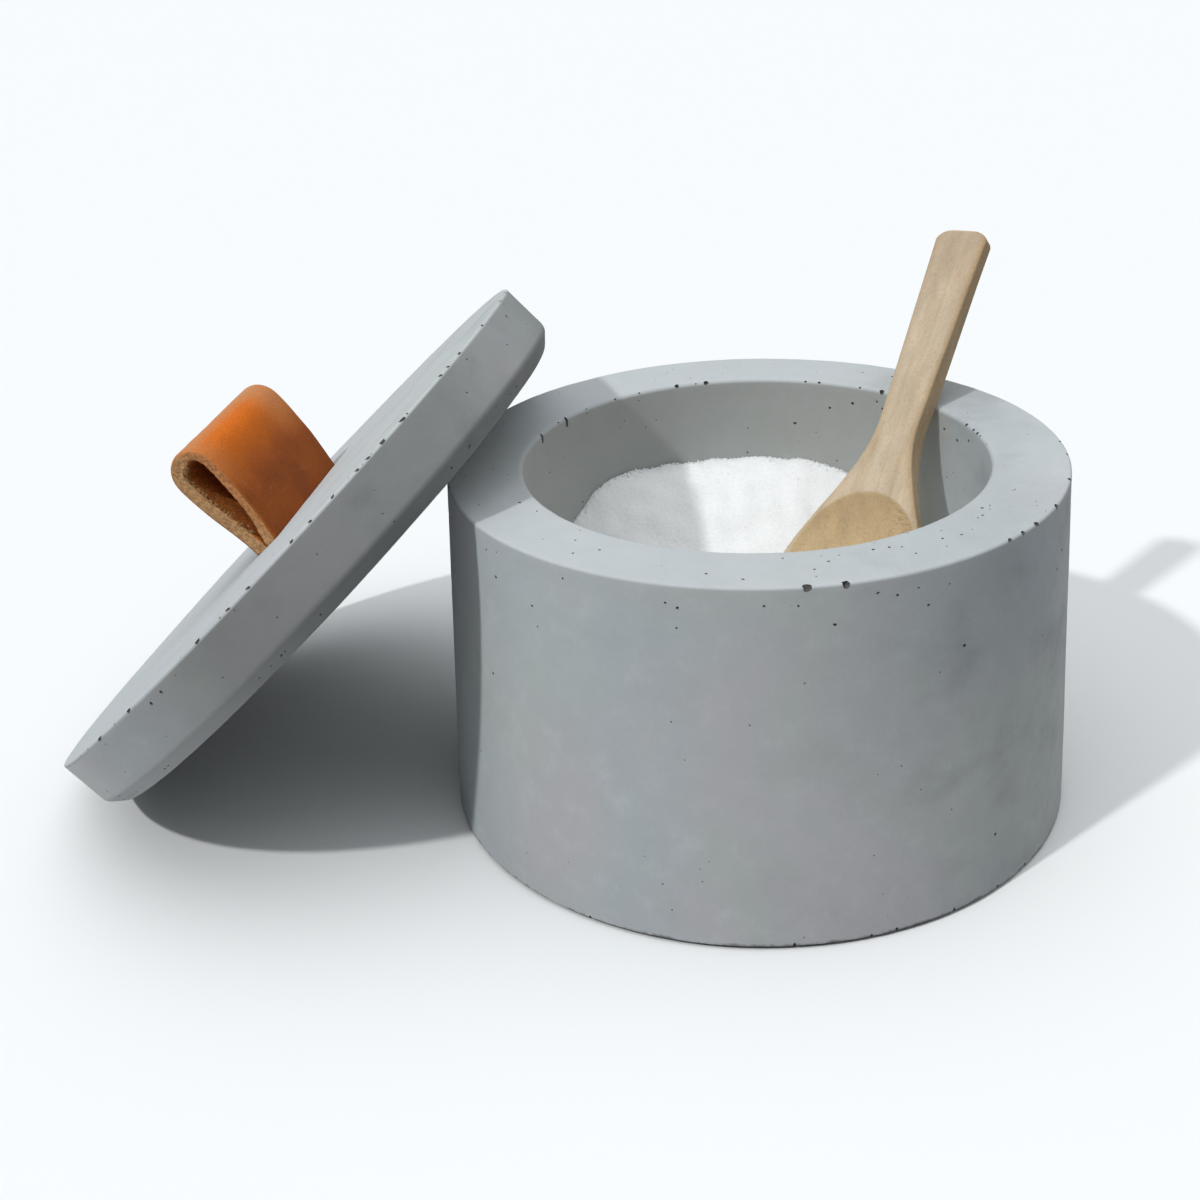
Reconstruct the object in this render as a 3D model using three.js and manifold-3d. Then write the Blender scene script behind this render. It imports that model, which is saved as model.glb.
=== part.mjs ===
// A cast concrete sugar bowl. Its lid leans on the rim, and a wooden spoon stands in the sugar.
// Millimetres, +Z up. The origin is the centre of the bowl's underside, and the lid leans along -X.
import * as THREE from 'three';
import { mergeVertices } from 'three/addons/utils/BufferGeometryUtils.js';
import Module from 'manifold-3d';

const wasm = await Module();
wasm.setup();
const { degToRad, lerp, clamp, smoothstep } = THREE.MathUtils;

// Gap kept between pieces that touch
const CLEARANCE = 0.3;

// Bowl: a thick wall that tapers up from the foot, round a nearly straight cavity
const BOWL_HEIGHT = 71;
const RIM_RADIUS = 60;
const FOOT_FLARE = 3;
const FOOT_CHAMFER = 0.8;
const RIM_WIDTH = 14.8;
const RIM_OUTER_ROUND = 0.6;
const RIM_INNER_ROUND = 1;
const CAVITY_TAPER = 1.5;
const CAVITY_CORNER = 9;
const FLOOR_THICKNESS = 12;

// Lid: a plain disc, chamfered all round its underside, wider than the rim
const LID_OVERHANG = 6.5;
const LID_THICKNESS = 14;
const LID_CHAMFER = 3;
const LID_EDGE_ROUND = 0.5;
const LID_LEAN = 44;

// Lid pull: a leather strap folded double, its two ends set in a slot in the lid
const STRAP_WIDTH = 40;
const STRAP_THICKNESS = 3.1;
const LOOP_HEIGHT = 25.7;
const LOOP_GAP = 4.6;
const CROWN_OFFSET = 0.9;
const PINCH_HEIGHT = 2.8;
const SLOT_FLOOR = 5;
const SLOT_UP_SLOPE = 2;
const SLOT_ASIDE = 4;

// Spoon: flat handle, flared neck, oval bowl with a carved hollow
const SPOON_LENGTH = 102;
const HANDLE_END_WIDTH = 11.6;
const HANDLE_END_THICKNESS = 3.6;
const HANDLE_CORNER = 3.2;
const NECK_WIDTH = 8.9;
const NECK_THICKNESS = 5.2;
const NECK_FROM_TIP = 57;
const SPOON_BOWL_WIDTH = 33.4;
const WIDEST_FROM_TIP = 17;
const SPOON_EDGE = 2.2;
const SPOON_BULGE = 5.4;
const HOLLOW_LENGTH = 38.5;
const HOLLOW_RIM = 2.3;
const HOLLOW_DEPTH = 5;
const SPOON_SOFTENING = 0.55;

// Spoon's stance: where it rests, round the rim and along itself, then its lean, heading and roll
const SPOON_REST_ANGLE = 39;
const SPOON_REST_FROM_TIP = 63;
const SPOON_LEAN = 44.6;
const SPOON_HEADING = 67.2;
const SPOON_ROLL = 5.3;

// Sugar: a bank against the back wall that falls towards the spoon
const SUGAR_BELOW_RIM = 18;
const SUGAR_FALL = 20;
const SLOPE_HEADING = -74;
const SLOPE_START = -42;
const SLOPE_END = -6;

// Facets: counts, and shares of the way out from the middle
const TURNED_SIDES = 96;
const HEAP_SIDES = 64;
const ARC_STEPS = 4;
const LOOP_STEPS = 20;
const HOLLOW_STEPS = 12;
const NECK_STEPS = 5;
const HANDLE_STEPS = 5;
const CORNER_STEPS = 3;
const PATH_STEPS = 14;
const FACE_SHARES = [-1, -0.75, -0.4, 0, 0.4, 0.75, 1];
const BACK_SHARES = [0.8, 0.4, 0, -0.4, -0.8];
const PATH_SHARES = [0.15, 0.4, 0.6, 0.78, 0.92];
const HEAP_SHARES = [0.9, 0.78, 0.64, 0.5, 0.36, 0.22, 0.08];
const FIRST_SECTION_FROM_TIP = 0.17;

const FOOT_RADIUS = RIM_RADIUS + FOOT_FLARE;
const CAVITY_RADIUS = RIM_RADIUS - RIM_WIDTH;
const CAVITY_FLOOR_RADIUS = CAVITY_RADIUS - CAVITY_TAPER;
const LID_RADIUS = RIM_RADIUS + LID_OVERHANG;
const SLOT_DEPTH = LID_THICKNESS - SLOT_FLOOR;

const concrete = new THREE.MeshStandardMaterial({ color: 0x9ea4a5, roughness: 0.9, metalness: 0 });
const leather = new THREE.MeshStandardMaterial({ color: 0xb4622c, roughness: 0.55, metalness: 0 });
const wood = new THREE.MeshStandardMaterial({ color: 0xcdae85, roughness: 0.7, metalness: 0 });
const crystal = new THREE.MeshStandardMaterial({ color: 0xf5f6f8, roughness: 0.6, metalness: 0 });

// Keep positions only, weld shared corners and drop triangles that the weld made empty.
function welded(geometry) {
  geometry.deleteAttribute('normal');
  geometry.deleteAttribute('uv');
  const whole = mergeVertices(geometry);
  const corners = whole.index.array;
  const kept = [];
  for (let i = 0; i < corners.length; i += 3) {
    const [a, b, c] = corners.subarray(i, i + 3);
    if (a !== b && b !== c && c !== a) kept.push(a, b, c);
  }
  whole.setIndex(kept);
  return whole;
}

function toSolid(geometry) {
  const { position } = geometry.attributes;
  const vertProperties = new Float32Array(position.array);
  const triVerts = new Uint32Array(geometry.index.array);
  return new wasm.Manifold(new wasm.Mesh({ numProp: 3, vertProperties, triVerts }));
}

function toGeometry(solid) {
  const { vertProperties, triVerts } = solid.getMesh();
  const geometry = new THREE.BufferGeometry();
  geometry.setAttribute('position', new THREE.BufferAttribute(vertProperties, 3));
  geometry.setIndex(new THREE.BufferAttribute(triVerts, 1));
  return geometry;
}

function cut(geometry, tool) {
  return toGeometry(toSolid(geometry).subtract(toSolid(tool)));
}

function named(name, geometry, material) {
  const mesh = new THREE.Mesh(geometry, material);
  mesh.name = name;
  return mesh;
}

// A solid of revolution about Z, from a profile of [radius, height] pairs that starts and ends on it
function turned(profile) {
  const points = profile.map(([radius, height]) => new THREE.Vector2(radius, height));
  return welded(new THREE.LatheGeometry(points, TURNED_SIDES).rotateX(Math.PI / 2));
}

// Pairs along an arc of a turned profile, between two angles in degrees
function arc(radius, height, size, from, to) {
  return Array.from({ length: ARC_STEPS + 1 }, (_, step) => {
    const angle = degToRad(lerp(from, to, step / ARC_STEPS));
    return [radius + size * Math.cos(angle), height + size * Math.sin(angle)];
  });
}

// A closed solid through rings of equal length, each end closed by a fan round the ring's middle
function loft(rings) {
  const sides = rings[0].length;
  const points = rings.flat();
  const triangles = [];
  for (let ring = 0; ring + 1 < rings.length; ring += 1) {
    for (let side = 0; side < sides; side += 1) {
      const a = ring * sides + side;
      const b = ring * sides + ((side + 1) % sides);
      triangles.push(a, b, b + sides, a, b + sides, a + sides);
    }
  }
  const addCap = (first, flip) => {
    const ring = points.slice(first, first + sides);
    const middle = ring.reduce((sum, point) => sum.add(point), new THREE.Vector3());
    points.push(middle.divideScalar(sides));
    for (let side = 0; side < sides; side += 1) {
      const a = first + side;
      const b = first + ((side + 1) % sides);
      triangles.push(points.length - 1, flip ? b : a, flip ? a : b);
    }
  };
  addCap(0, true);
  addCap((rings.length - 1) * sides, false);
  return new THREE.BufferGeometry().setFromPoints(points).setIndex(triangles);
}

// Positions from one end to the other, closer together towards both ends
function crowded(from, to, steps) {
  return Array.from({ length: steps + 1 }, (_, step) => {
    return lerp(from, to, (1 - Math.cos((Math.PI * step) / steps)) / 2);
  });
}

function bowlGeometry() {
  const outer = RIM_RADIUS - RIM_OUTER_ROUND;
  const inner = CAVITY_RADIUS + RIM_INNER_ROUND;
  const corner = CAVITY_FLOOR_RADIUS - CAVITY_CORNER;
  return turned([
    [0, 0],
    [FOOT_RADIUS - FOOT_CHAMFER, 0],
    [FOOT_RADIUS, FOOT_CHAMFER],
    ...arc(outer, BOWL_HEIGHT - RIM_OUTER_ROUND, RIM_OUTER_ROUND, 0, 90),
    ...arc(inner, BOWL_HEIGHT - RIM_INNER_ROUND, RIM_INNER_ROUND, 90, 180),
    ...arc(corner, FLOOR_THICKNESS + CAVITY_CORNER, CAVITY_CORNER, 0, -90),
    [0, FLOOR_THICKNESS],
  ]);
}

function lidGeometry() {
  const shoulder = LID_RADIUS - LID_EDGE_ROUND;
  const disc = turned([
    [0, 0],
    [LID_RADIUS - LID_CHAMFER, 0],
    [LID_RADIUS, LID_CHAMFER],
    ...arc(shoulder, LID_THICKNESS - LID_EDGE_ROUND, LID_EDGE_ROUND, 0, 90),
    [0, LID_THICKNESS],
  ]);
  const slotBreadth = 2 * (STRAP_THICKNESS + CLEARANCE);
  const slot = new THREE.BoxGeometry(slotBreadth, STRAP_WIDTH + 2 * CLEARANCE, 2 * SLOT_DEPTH);
  slot.translate(SLOT_UP_SLOPE, SLOT_ASIDE, LID_THICKNESS);
  return cut(disc, welded(slot));
}

// Angle round a circle where a line from a point outside it touches, on the side given as 1 or -1
function touchAngle(point, centre, radius, side) {
  const away = point.clone().sub(centre);
  return away.angle() + side * Math.acos(radius / away.length());
}

// The strap's edge: two leaves rise from the slot, bow apart and meet round the crown of the loop.
function lidPullGeometry() {
  const crownRadius = LOOP_GAP / 2 + STRAP_THICKNESS;
  const crown = new THREE.Vector2(CROWN_OFFSET, LOOP_HEIGHT - crownRadius);
  const tailEnd = CLEARANCE - SLOT_DEPTH;
  const right = new THREE.Vector2(STRAP_THICKNESS, 0);
  const left = new THREE.Vector2(-STRAP_THICKNESS, 0);
  const edge = new THREE.Shape();
  edge.moveTo(left.x, tailEnd);
  edge.lineTo(right.x, tailEnd);
  edge.lineTo(right.x, right.y);
  const rise = touchAngle(right, crown, crownRadius, 1);
  const fall = touchAngle(left, crown, crownRadius, -1);
  edge.absarc(crown.x, crown.y, crownRadius, rise, fall, false);
  edge.lineTo(left.x, left.y);
  edge.closePath();
  const pinch = new THREE.Vector2((CROWN_OFFSET * PINCH_HEIGHT) / LOOP_HEIGHT, PINCH_HEIGHT);
  const insideRise = touchAngle(pinch, crown, LOOP_GAP / 2, 1);
  const insideFall = touchAngle(pinch, crown, LOOP_GAP / 2, -1);
  const inside = new THREE.Path();
  inside.moveTo(pinch.x, pinch.y);
  inside.absarc(crown.x, crown.y, LOOP_GAP / 2, insideRise, insideFall, false);
  inside.closePath();
  edge.holes.push(inside);
  const options = { depth: STRAP_WIDTH, curveSegments: LOOP_STEPS, bevelEnabled: false };
  const strap = new THREE.ExtrudeGeometry(edge, options);
  strap.translate(0, 0, -STRAP_WIDTH / 2).rotateX(Math.PI / 2);
  strap.translate(SLOT_UP_SLOPE, SLOT_ASIDE, LID_THICKNESS);
  return welded(strap);
}

// Half the spoon's width at a distance from its tip
function spoonHalfWidth(along) {
  const widest = SPOON_BOWL_WIDTH / 2;
  if (along < WIDEST_FROM_TIP) {
    return widest * Math.sqrt(1 - (1 - along / WIDEST_FROM_TIP) ** 2);
  }
  if (along < NECK_FROM_TIP) {
    const turn = (Math.PI * (along - WIDEST_FROM_TIP)) / (NECK_FROM_TIP - WIDEST_FROM_TIP);
    return lerp(NECK_WIDTH / 2, widest, (1 + Math.cos(turn)) / 2);
  }
  const share = (along - NECK_FROM_TIP) / (SPOON_LENGTH - NECK_FROM_TIP);
  const straight = lerp(NECK_WIDTH, HANDLE_END_WIDTH, share) / 2;
  const pastCorner = clamp(along - (SPOON_LENGTH - HANDLE_CORNER), 0, HANDLE_CORNER);
  return straight - HANDLE_CORNER + Math.sqrt(HANDLE_CORNER ** 2 - pastCorner ** 2);
}

// The spoon's thickness at its edge: thin at the bowl, thickest at the neck
function spoonThickness(along) {
  if (along < NECK_FROM_TIP) {
    return lerp(SPOON_EDGE, NECK_THICKNESS, smoothstep(along, WIDEST_FROM_TIP, NECK_FROM_TIP));
  }
  const share = smoothstep(along, NECK_FROM_TIP, SPOON_LENGTH);
  return lerp(NECK_THICKNESS, HANDLE_END_THICKNESS, share);
}

// How far the spoon's back swells below its edge
function spoonBulge(along) {
  const deepest = HOLLOW_RIM + HOLLOW_LENGTH / 2;
  const reach = along < deepest ? deepest : NECK_FROM_TIP - deepest;
  return SPOON_BULGE * Math.max(0, 1 - ((along - deepest) / reach) ** 2);
}

// Depth of the spoon's back, measured down from its face
function spoonBack(across, along) {
  const share = across / spoonHalfWidth(along);
  return spoonThickness(along) + spoonBulge(along) * Math.max(0, 1 - share ** 2);
}

// Share of the way out from the middle of the hollow, along the spoon
function hollowShare(along) {
  return (along - HOLLOW_RIM - HOLLOW_LENGTH / 2) / (HOLLOW_LENGTH / 2);
}

// One section across the spoon: its face with the hollow, then its side, its back and its other side
function spoonSection(along) {
  const half = spoonHalfWidth(along);
  const thickness = spoonThickness(along);
  const soft = Math.min(SPOON_SOFTENING, half / 2);
  const share = hollowShare(along);
  const inHollow = Math.abs(share) < 1;
  const hollowHalf = (SPOON_BOWL_WIDTH / 2 - HOLLOW_RIM) * Math.sqrt(Math.max(0, 1 - share ** 2));
  const faceHalf = inHollow ? Math.min(hollowHalf, half - 2 * soft) : half / 2;
  const depth = inHollow ? HOLLOW_DEPTH * (1 - share ** 2) : 0;
  const face = FACE_SHARES.map((across) => {
    return [across * faceHalf, -depth * (1 - across ** 2)];
  });
  const back = BACK_SHARES.map((share) => [share * half, -spoonBack(share * half, along)]);
  const ring = [
    [soft - half, 0],
    ...face,
    [half - soft, 0],
    [half, -soft],
    [half, soft - thickness],
    [half - soft, -thickness],
    ...back,
    [soft - half, -thickness],
    [-half, soft - thickness],
    [-half, -soft],
  ];
  return ring.map(([across, out]) => new THREE.Vector3(across, along, out));
}

function spoonGeometry() {
  const hollowEnd = HOLLOW_RIM + HOLLOW_LENGTH;
  const corner = SPOON_LENGTH - HANDLE_CORNER;
  const roundEnd = Array.from({ length: CORNER_STEPS }, (_, step) => {
    return corner + HANDLE_CORNER * Math.sin(((Math.PI / 2) * (step + 1)) / CORNER_STEPS);
  });
  const stations = [
    FIRST_SECTION_FROM_TIP,
    HOLLOW_RIM / 2,
    ...crowded(HOLLOW_RIM, hollowEnd, HOLLOW_STEPS),
    ...crowded(hollowEnd, NECK_FROM_TIP, NECK_STEPS).slice(1),
    ...crowded(NECK_FROM_TIP, corner, HANDLE_STEPS).slice(1),
    ...roundEnd,
  ];
  return loft(stations.map(spoonSection));
}

// The spoon's axes: across it, up along its handle and out of its face
function spoonAxes() {
  const lean = degToRad(SPOON_LEAN);
  const heading = degToRad(SPOON_HEADING);
  const level = Math.sin(lean);
  const up = new THREE.Vector3(level * Math.cos(heading), level * Math.sin(heading), Math.cos(lean));
  const across = new THREE.Vector3(Math.sin(heading), -Math.cos(heading), 0);
  across.applyAxisAngle(up, -degToRad(SPOON_ROLL));
  return { across, up, out: across.clone().cross(up) };
}

// Where the tip is when the right back corner of the handle rests on the inner edge of the rim
function spoonTip({ across, up, out }) {
  const angle = degToRad(SPOON_REST_ANGLE);
  const outward = new THREE.Vector3(Math.cos(angle), Math.sin(angle), 0);
  const tangent = new THREE.Vector3(-Math.sin(angle), Math.cos(angle), 0);
  const away = up.clone().cross(tangent).normalize();
  if (away.z < 0) away.negate();
  const rest = outward.multiplyScalar(CAVITY_RADIUS + RIM_INNER_ROUND);
  rest.z = BOWL_HEIGHT - RIM_INNER_ROUND;
  rest.addScaledVector(away, RIM_INNER_ROUND + CLEARANCE);
  rest.addScaledVector(across, -spoonHalfWidth(SPOON_REST_FROM_TIP));
  rest.addScaledVector(out, spoonThickness(SPOON_REST_FROM_TIP));
  return rest.addScaledVector(up, -SPOON_REST_FROM_TIP);
}

// Height of the heap of sugar over a point of the bowl's floor
function sugarHeight(x, y) {
  const heading = degToRad(SLOPE_HEADING);
  const along = x * Math.cos(heading) + y * Math.sin(heading);
  const fall = smoothstep(along, SLOPE_START, SLOPE_END);
  return BOWL_HEIGHT - SUGAR_BELOW_RIM - SUGAR_FALL * fall;
}

// Radius of the sugar at a height, a clearance inside the cavity's tapered wall
function sugarRadius(height) {
  const wallFoot = FLOOR_THICKNESS + CAVITY_CORNER;
  const share = (height - wallFoot) / (BOWL_HEIGHT - RIM_INNER_ROUND - wallFoot);
  return lerp(CAVITY_FLOOR_RADIUS, CAVITY_RADIUS, clamp(share, 0, 1)) - CLEARANCE;
}

// The sugar fills the cavity from its floor to the heap: rings up its side, then in over the top.
function sugarHeap() {
  const angles = Array.from({ length: HEAP_SIDES }, (_, side) => (2 * Math.PI * side) / HEAP_SIDES);
  const ringAt = (place) => angles.map((angle) => {
    const [radius, height] = place(angle);
    return new THREE.Vector3(radius * Math.cos(angle), radius * Math.sin(angle), height);
  });
  const edgeRadius = sugarRadius(BOWL_HEIGHT - SUGAR_BELOW_RIM);
  const surface = (angle, radius) => sugarHeight(radius * Math.cos(angle), radius * Math.sin(angle));
  const foot = arc(
    CAVITY_FLOOR_RADIUS - CAVITY_CORNER,
    FLOOR_THICKNESS + CAVITY_CORNER,
    CAVITY_CORNER - CLEARANCE,
    -90,
    0,
  );
  const rim = (angle) => {
    const height = surface(angle, edgeRadius);
    return [sugarRadius(height), height];
  };
  const top = HEAP_SHARES.map((share) => (angle) => {
    const radius = share * edgeRadius;
    return [radius, surface(angle, radius)];
  });
  return loft([...foot.map((pair) => ringAt(() => pair)), ringAt(rim), ...top.map(ringAt)]);
}

// The space that the spoon sweeps through as it is lifted straight up, with a clearance round it:
// rings spread over its back from the middle to its edge, and the last ring is lifted.
function spoonPath(axes, tip) {
  const stations = crowded(FIRST_SECTION_FROM_TIP, NECK_FROM_TIP, PATH_STEPS);
  const rightSide = stations.map((along) => [spoonHalfWidth(along), along]);
  const leftSide = rightSide.map(([across, along]) => [-across, along]).reverse();
  const outline = [...rightSide, ...leftSide];
  const middle = WIDEST_FROM_TIP;
  const grow = 1 + (2 * CLEARANCE) / WIDEST_FROM_TIP;
  const place = new THREE.Matrix4().makeBasis(axes.across, axes.up, axes.out).setPosition(tip);
  const ringAt = (share, depthAt) => outline.map(([across, along]) => {
    const depth = depthAt(across, along);
    const point = new THREE.Vector3(across * share, lerp(middle, along, share), -depth);
    return point.applyMatrix4(place);
  });
  const under = PATH_SHARES.map((share) => ringAt(share, (across, along) => {
    return spoonBack(across * share, lerp(middle, along, share)) + CLEARANCE;
  }));
  const edge = ringAt(grow, (across, along) => spoonThickness(along) + CLEARANCE);
  const face = ringAt(grow, () => 0);
  const lifted = face.map((point) => point.clone().setZ(point.z + BOWL_HEIGHT));
  return loft([...under, edge, face, lifted]);
}

// The lid stands on its chamfer and leans on the rim: its underside's middle, for the lean given
function lidPlace(lean) {
  const sine = Math.sin(lean);
  const cosine = Math.cos(lean);
  const rimSide = (RIM_RADIUS - RIM_OUTER_ROUND) * sine + (BOWL_HEIGHT - RIM_OUTER_ROUND) * cosine;
  const off = rimSide + RIM_OUTER_ROUND + CLEARANCE;
  const underEdge = (LID_RADIUS - LID_CHAMFER) * sine;
  const outerEdge = LID_RADIUS * sine - LID_CHAMFER * cosine;
  const height = Math.max(underEdge, outerEdge);
  const along = (height - off * cosine) / sine;
  return new THREE.Vector3(along * cosine - off * sine, 0, height);
}

const axes = spoonAxes();
const tip = spoonTip(axes);

const lidAndPull = new THREE.Group();
lidAndPull.add(named('lid', lidGeometry(), concrete));
lidAndPull.add(named('lid_pull', lidPullGeometry(), leather));
lidAndPull.position.copy(lidPlace(degToRad(LID_LEAN)));
lidAndPull.rotation.y = -degToRad(LID_LEAN);

const spoon = named('spoon', spoonGeometry(), wood);
spoon.position.copy(tip);
spoon.quaternion.setFromRotationMatrix(new THREE.Matrix4().makeBasis(axes.across, axes.up, axes.out));

const sugarBowl = new THREE.Group();
sugarBowl.add(named('bowl', bowlGeometry(), concrete));
sugarBowl.add(named('sugar', cut(sugarHeap(), spoonPath(axes, tip)), crystal));
sugarBowl.add(lidAndPull);
sugarBowl.add(spoon);

export default sugarBowl;
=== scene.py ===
import math

import bmesh
import bpy
import numpy as np
from mathutils import Euler, Matrix, Vector
from mathutils.bvhtree import BVHTree


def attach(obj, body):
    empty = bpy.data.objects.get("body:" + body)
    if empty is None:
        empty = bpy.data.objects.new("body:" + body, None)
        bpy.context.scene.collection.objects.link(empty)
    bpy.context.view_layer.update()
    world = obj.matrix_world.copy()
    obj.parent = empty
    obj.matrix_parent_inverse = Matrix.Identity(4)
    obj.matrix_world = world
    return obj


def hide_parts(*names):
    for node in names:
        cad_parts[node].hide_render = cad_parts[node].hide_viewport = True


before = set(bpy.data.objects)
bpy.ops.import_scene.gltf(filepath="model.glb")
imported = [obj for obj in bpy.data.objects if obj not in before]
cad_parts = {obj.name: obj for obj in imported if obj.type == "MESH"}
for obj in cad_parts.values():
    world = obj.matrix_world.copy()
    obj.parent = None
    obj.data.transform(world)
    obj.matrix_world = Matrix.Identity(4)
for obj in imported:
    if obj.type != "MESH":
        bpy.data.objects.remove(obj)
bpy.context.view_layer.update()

MM = 0.001
CLEARANCE = 0.3 * MM

# Concrete bowl
BOWL_HEIGHT = 71 * MM
RIM_RADIUS = 60 * MM
FOOT_RADIUS = 63 * MM
FOOT_CHAMFER = 0.8 * MM
RIM_WIDTH = 14.8 * MM
RIM_OUTER_ROUND = 0.6 * MM
RIM_INNER_ROUND = 1.0 * MM
CAVITY_RADIUS = RIM_RADIUS - RIM_WIDTH
CAVITY_FLOOR_RADIUS = CAVITY_RADIUS - 1.5 * MM
CAVITY_CORNER = 9 * MM
FLOOR_THICKNESS = 12 * MM
BOWL_SIDES = 300

# Concrete lid, leaning on the rim
LID_RADIUS = 66.5 * MM
LID_THICKNESS = 14 * MM
LID_CHAMFER = 3 * MM
LID_CHAMFER_ROUND = 2.2 * MM
LID_EDGE_ROUND = 0.5 * MM
LID_LEAN = math.radians(44)
LID_SIDES = 320

# Leather pull, a strap folded double in a slot of the lid
STRAP_WIDTH = 40 * MM
STRAP_THICKNESS = 3.1 * MM
STRAP_SHY = 0.02 * MM
GRAIN_ROUND = 0.95 * MM
FLESH_ROUND = 0.3 * MM
LOOP_HEIGHT = 25.7 * MM
LOOP_GAP = 4.6 * MM
CROWN_OFFSET = 1.3 * MM
CROWN_SINK = 0.4 * MM
LEAF_GAP = 0.06 * MM
RIGHT_LEAVES_SLOT = 0.3 * MM
RIGHT_BOW = 0.55 * MM
RIGHT_BOW_LIFT = 0.9
RIGHT_THINNER = 0.8 * MM
RIGHT_LEAF_FROM = 1.5 * MM
LEFT_LEAVES_SLOT = 2.8 * MM
LEFT_BOW = 0.3 * MM
LEFT_BOW_LIFT = 1.5
SLOT_DEPTH = 9 * MM
SLOT_UP_SLOPE = 2 * MM
SLOT_ASIDE = 4 * MM
STRAP_STEP = 0.3 * MM
STRAP_EASING = 30
STRAP_COLUMNS = 56
SIDE_COLUMNS = 9
FIBRE_COUNT = 340
FIBRES_ABOVE = 3.5 * MM
FIBRE_LENGTHS = (0.5 * MM, 1.3 * MM)
FIBRE_RADII = (0.14 * MM, 0.26 * MM)
FIBRE_CORNERS = (0, 2.1, 4.2)
FIBRE_SIDES = np.array(((0, 1, 3), (1, 2, 3), (2, 0, 3), (2, 1, 0)))

# Wooden spoon
SPOON_LENGTH = 102 * MM
HANDLE_END_WIDTH = 11.6 * MM
HANDLE_END_THICKNESS = 3.6 * MM
HANDLE_CORNER = 2.6 * MM
HANDLE_CORNER_ACROSS = 4.2 * MM
NECK_WIDTH = 8.9 * MM
NECK_THICKNESS = 5.2 * MM
NECK_FROM_TIP = 57 * MM
SPOON_BOWL_WIDTH = 33.4 * MM
WIDEST_FROM_TIP = 17 * MM
SPOON_EDGE = 2.2 * MM
SPOON_BULGE = 5.4 * MM
HOLLOW_LENGTH = 38.5 * MM
HOLLOW_RIM = 2.3 * MM
HOLLOW_DEPTH = 5 * MM
HOLLOW_EDGE = 0.1 * MM
SPOON_SOFTENING = 0.55 * MM
SOFTENED_WIDTH = 0.6
SOFTENED_THICKNESS = 0.42
SPOON_LEAST_HALF = 0.05 * MM
ARRIS_WIDTH = 0.7 * MM
SPOON_STEP = 0.45 * MM
TIP_CUTS = 56
HANDLE_END_CUTS = 22
FACE_COLUMNS = 61
BACK_COLUMNS = 41
SPOON_REST_ANGLE = math.radians(39)
SPOON_REST_FROM_TIP = 63 * MM
SPOON_LEAN = math.radians(44.6)
SPOON_HEADING = math.radians(67.2)
SPOON_ROLL = math.radians(5.3)

# Sugar, banked against the back wall
SUGAR_TOP = BOWL_HEIGHT - 18 * MM
SUGAR_FALL = 20 * MM
SLOPE_HEADING = math.radians(-74)
SLOPE_START = -42 * MM
SLOPE_END = -6 * MM
SUGAR_EDGE = CAVITY_RADIUS - 0.6 * MM
SUGAR_RINGS = 100
SUGAR_SIDES = 800
SUGAR_INNERMOST = 0.02
SUGAR_CROWDING = 0.85
SLOPE_GRAIN = 0.015 * MM
EDGE_GRAIN = 0.13 * MM
GRAIN_LIMIT = 1.6
LUMP_SPOT = (-34.5 * MM, 28.9 * MM)
LUMP_HEIGHT = 1.3 * MM
LUMP_REACH = 9 * MM
SPOON_POCKET = 0.45 * MM
EDGE_CRYSTALS = 420
LOOSE_CRYSTALS = 140
CRYSTAL_SIZES = (0.24 * MM, 0.42 * MM)
EDGE_SINK = (-0.3 * MM, 0.12 * MM)
LOOSE_SINK = (0.06 * MM, 0.16 * MM)
EDGE_TIPPING = 0.6
LOOSE_TIPPING = 0.25

# Seeds of the random draws
BOWL_SEED = 3
BOWL_PITS_SEED = 11
LID_SEED = 5
LID_PITS_SEED = 21
RAGGED_SEED = 31
NAP_SEED = 32
GRAIN_SEED = 33
FIBRE_SEED = 35
BANK_SEED = 41
BANK_FINE_SEED = 42
SUGAR_EDGE_SEED = 43
CRYSTAL_SEED = 45

# Numbers and meshes
RIPPLE_WAVES = 28
RIPPLE_SPREAD = (0.6, 1.5)
FAN_RADIUS = 4 * MM
BLOCK_CORNERS = np.array([(x, y, z) for x in (-1, 1) for y in (-1, 1) for z in (-1, 1)]) / 2
BLOCK_SIDES = np.array(((0, 1, 3, 2), (4, 6, 7, 5), (0, 4, 5, 1), (2, 3, 7, 6), (0, 2, 6, 4), (1, 5, 7, 3)))


def between(start, end, share):
    return start + (end - start) * share


def eased(value, low, high):
    share = np.clip((value - low) / (high - low), 0, 1)
    return share * share * (3 - 2 * share)


def unit(vectors):
    return vectors / np.linalg.norm(vectors, axis=-1, keepdims=True)


def all_round(sides):
    return np.arange(sides) * 2 * math.pi / sides


def about_axis(angle, radius, height):
    """A point round an upright axis, or a direction where the radius and the height are shares of 1."""
    return np.array((radius * math.cos(angle), radius * math.sin(angle), height))


def ripples(points, size, seed):
    """A smooth random height over the points, mostly from -1 to 1, with bumps about size apart."""
    chance = np.random.default_rng(seed)
    waves = chance.normal(size=(3, RIPPLE_WAVES))
    waves *= 2 * math.pi / size / np.linalg.norm(waves, axis=0)
    waves *= chance.uniform(*RIPPLE_SPREAD, RIPPLE_WAVES)
    phases = chance.uniform(0, 2 * math.pi, RIPPLE_WAVES)
    return np.sin(points @ waves + phases).sum(axis=-1) / math.sqrt(RIPPLE_WAVES)


def line(start, end, step):
    """Points from start towards end, which is left out."""
    start = np.array(start)
    end = np.array(end)
    count = max(1, math.ceil(np.linalg.norm(end - start) / step))
    return [between(start, end, index / count) for index in range(count)]


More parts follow.
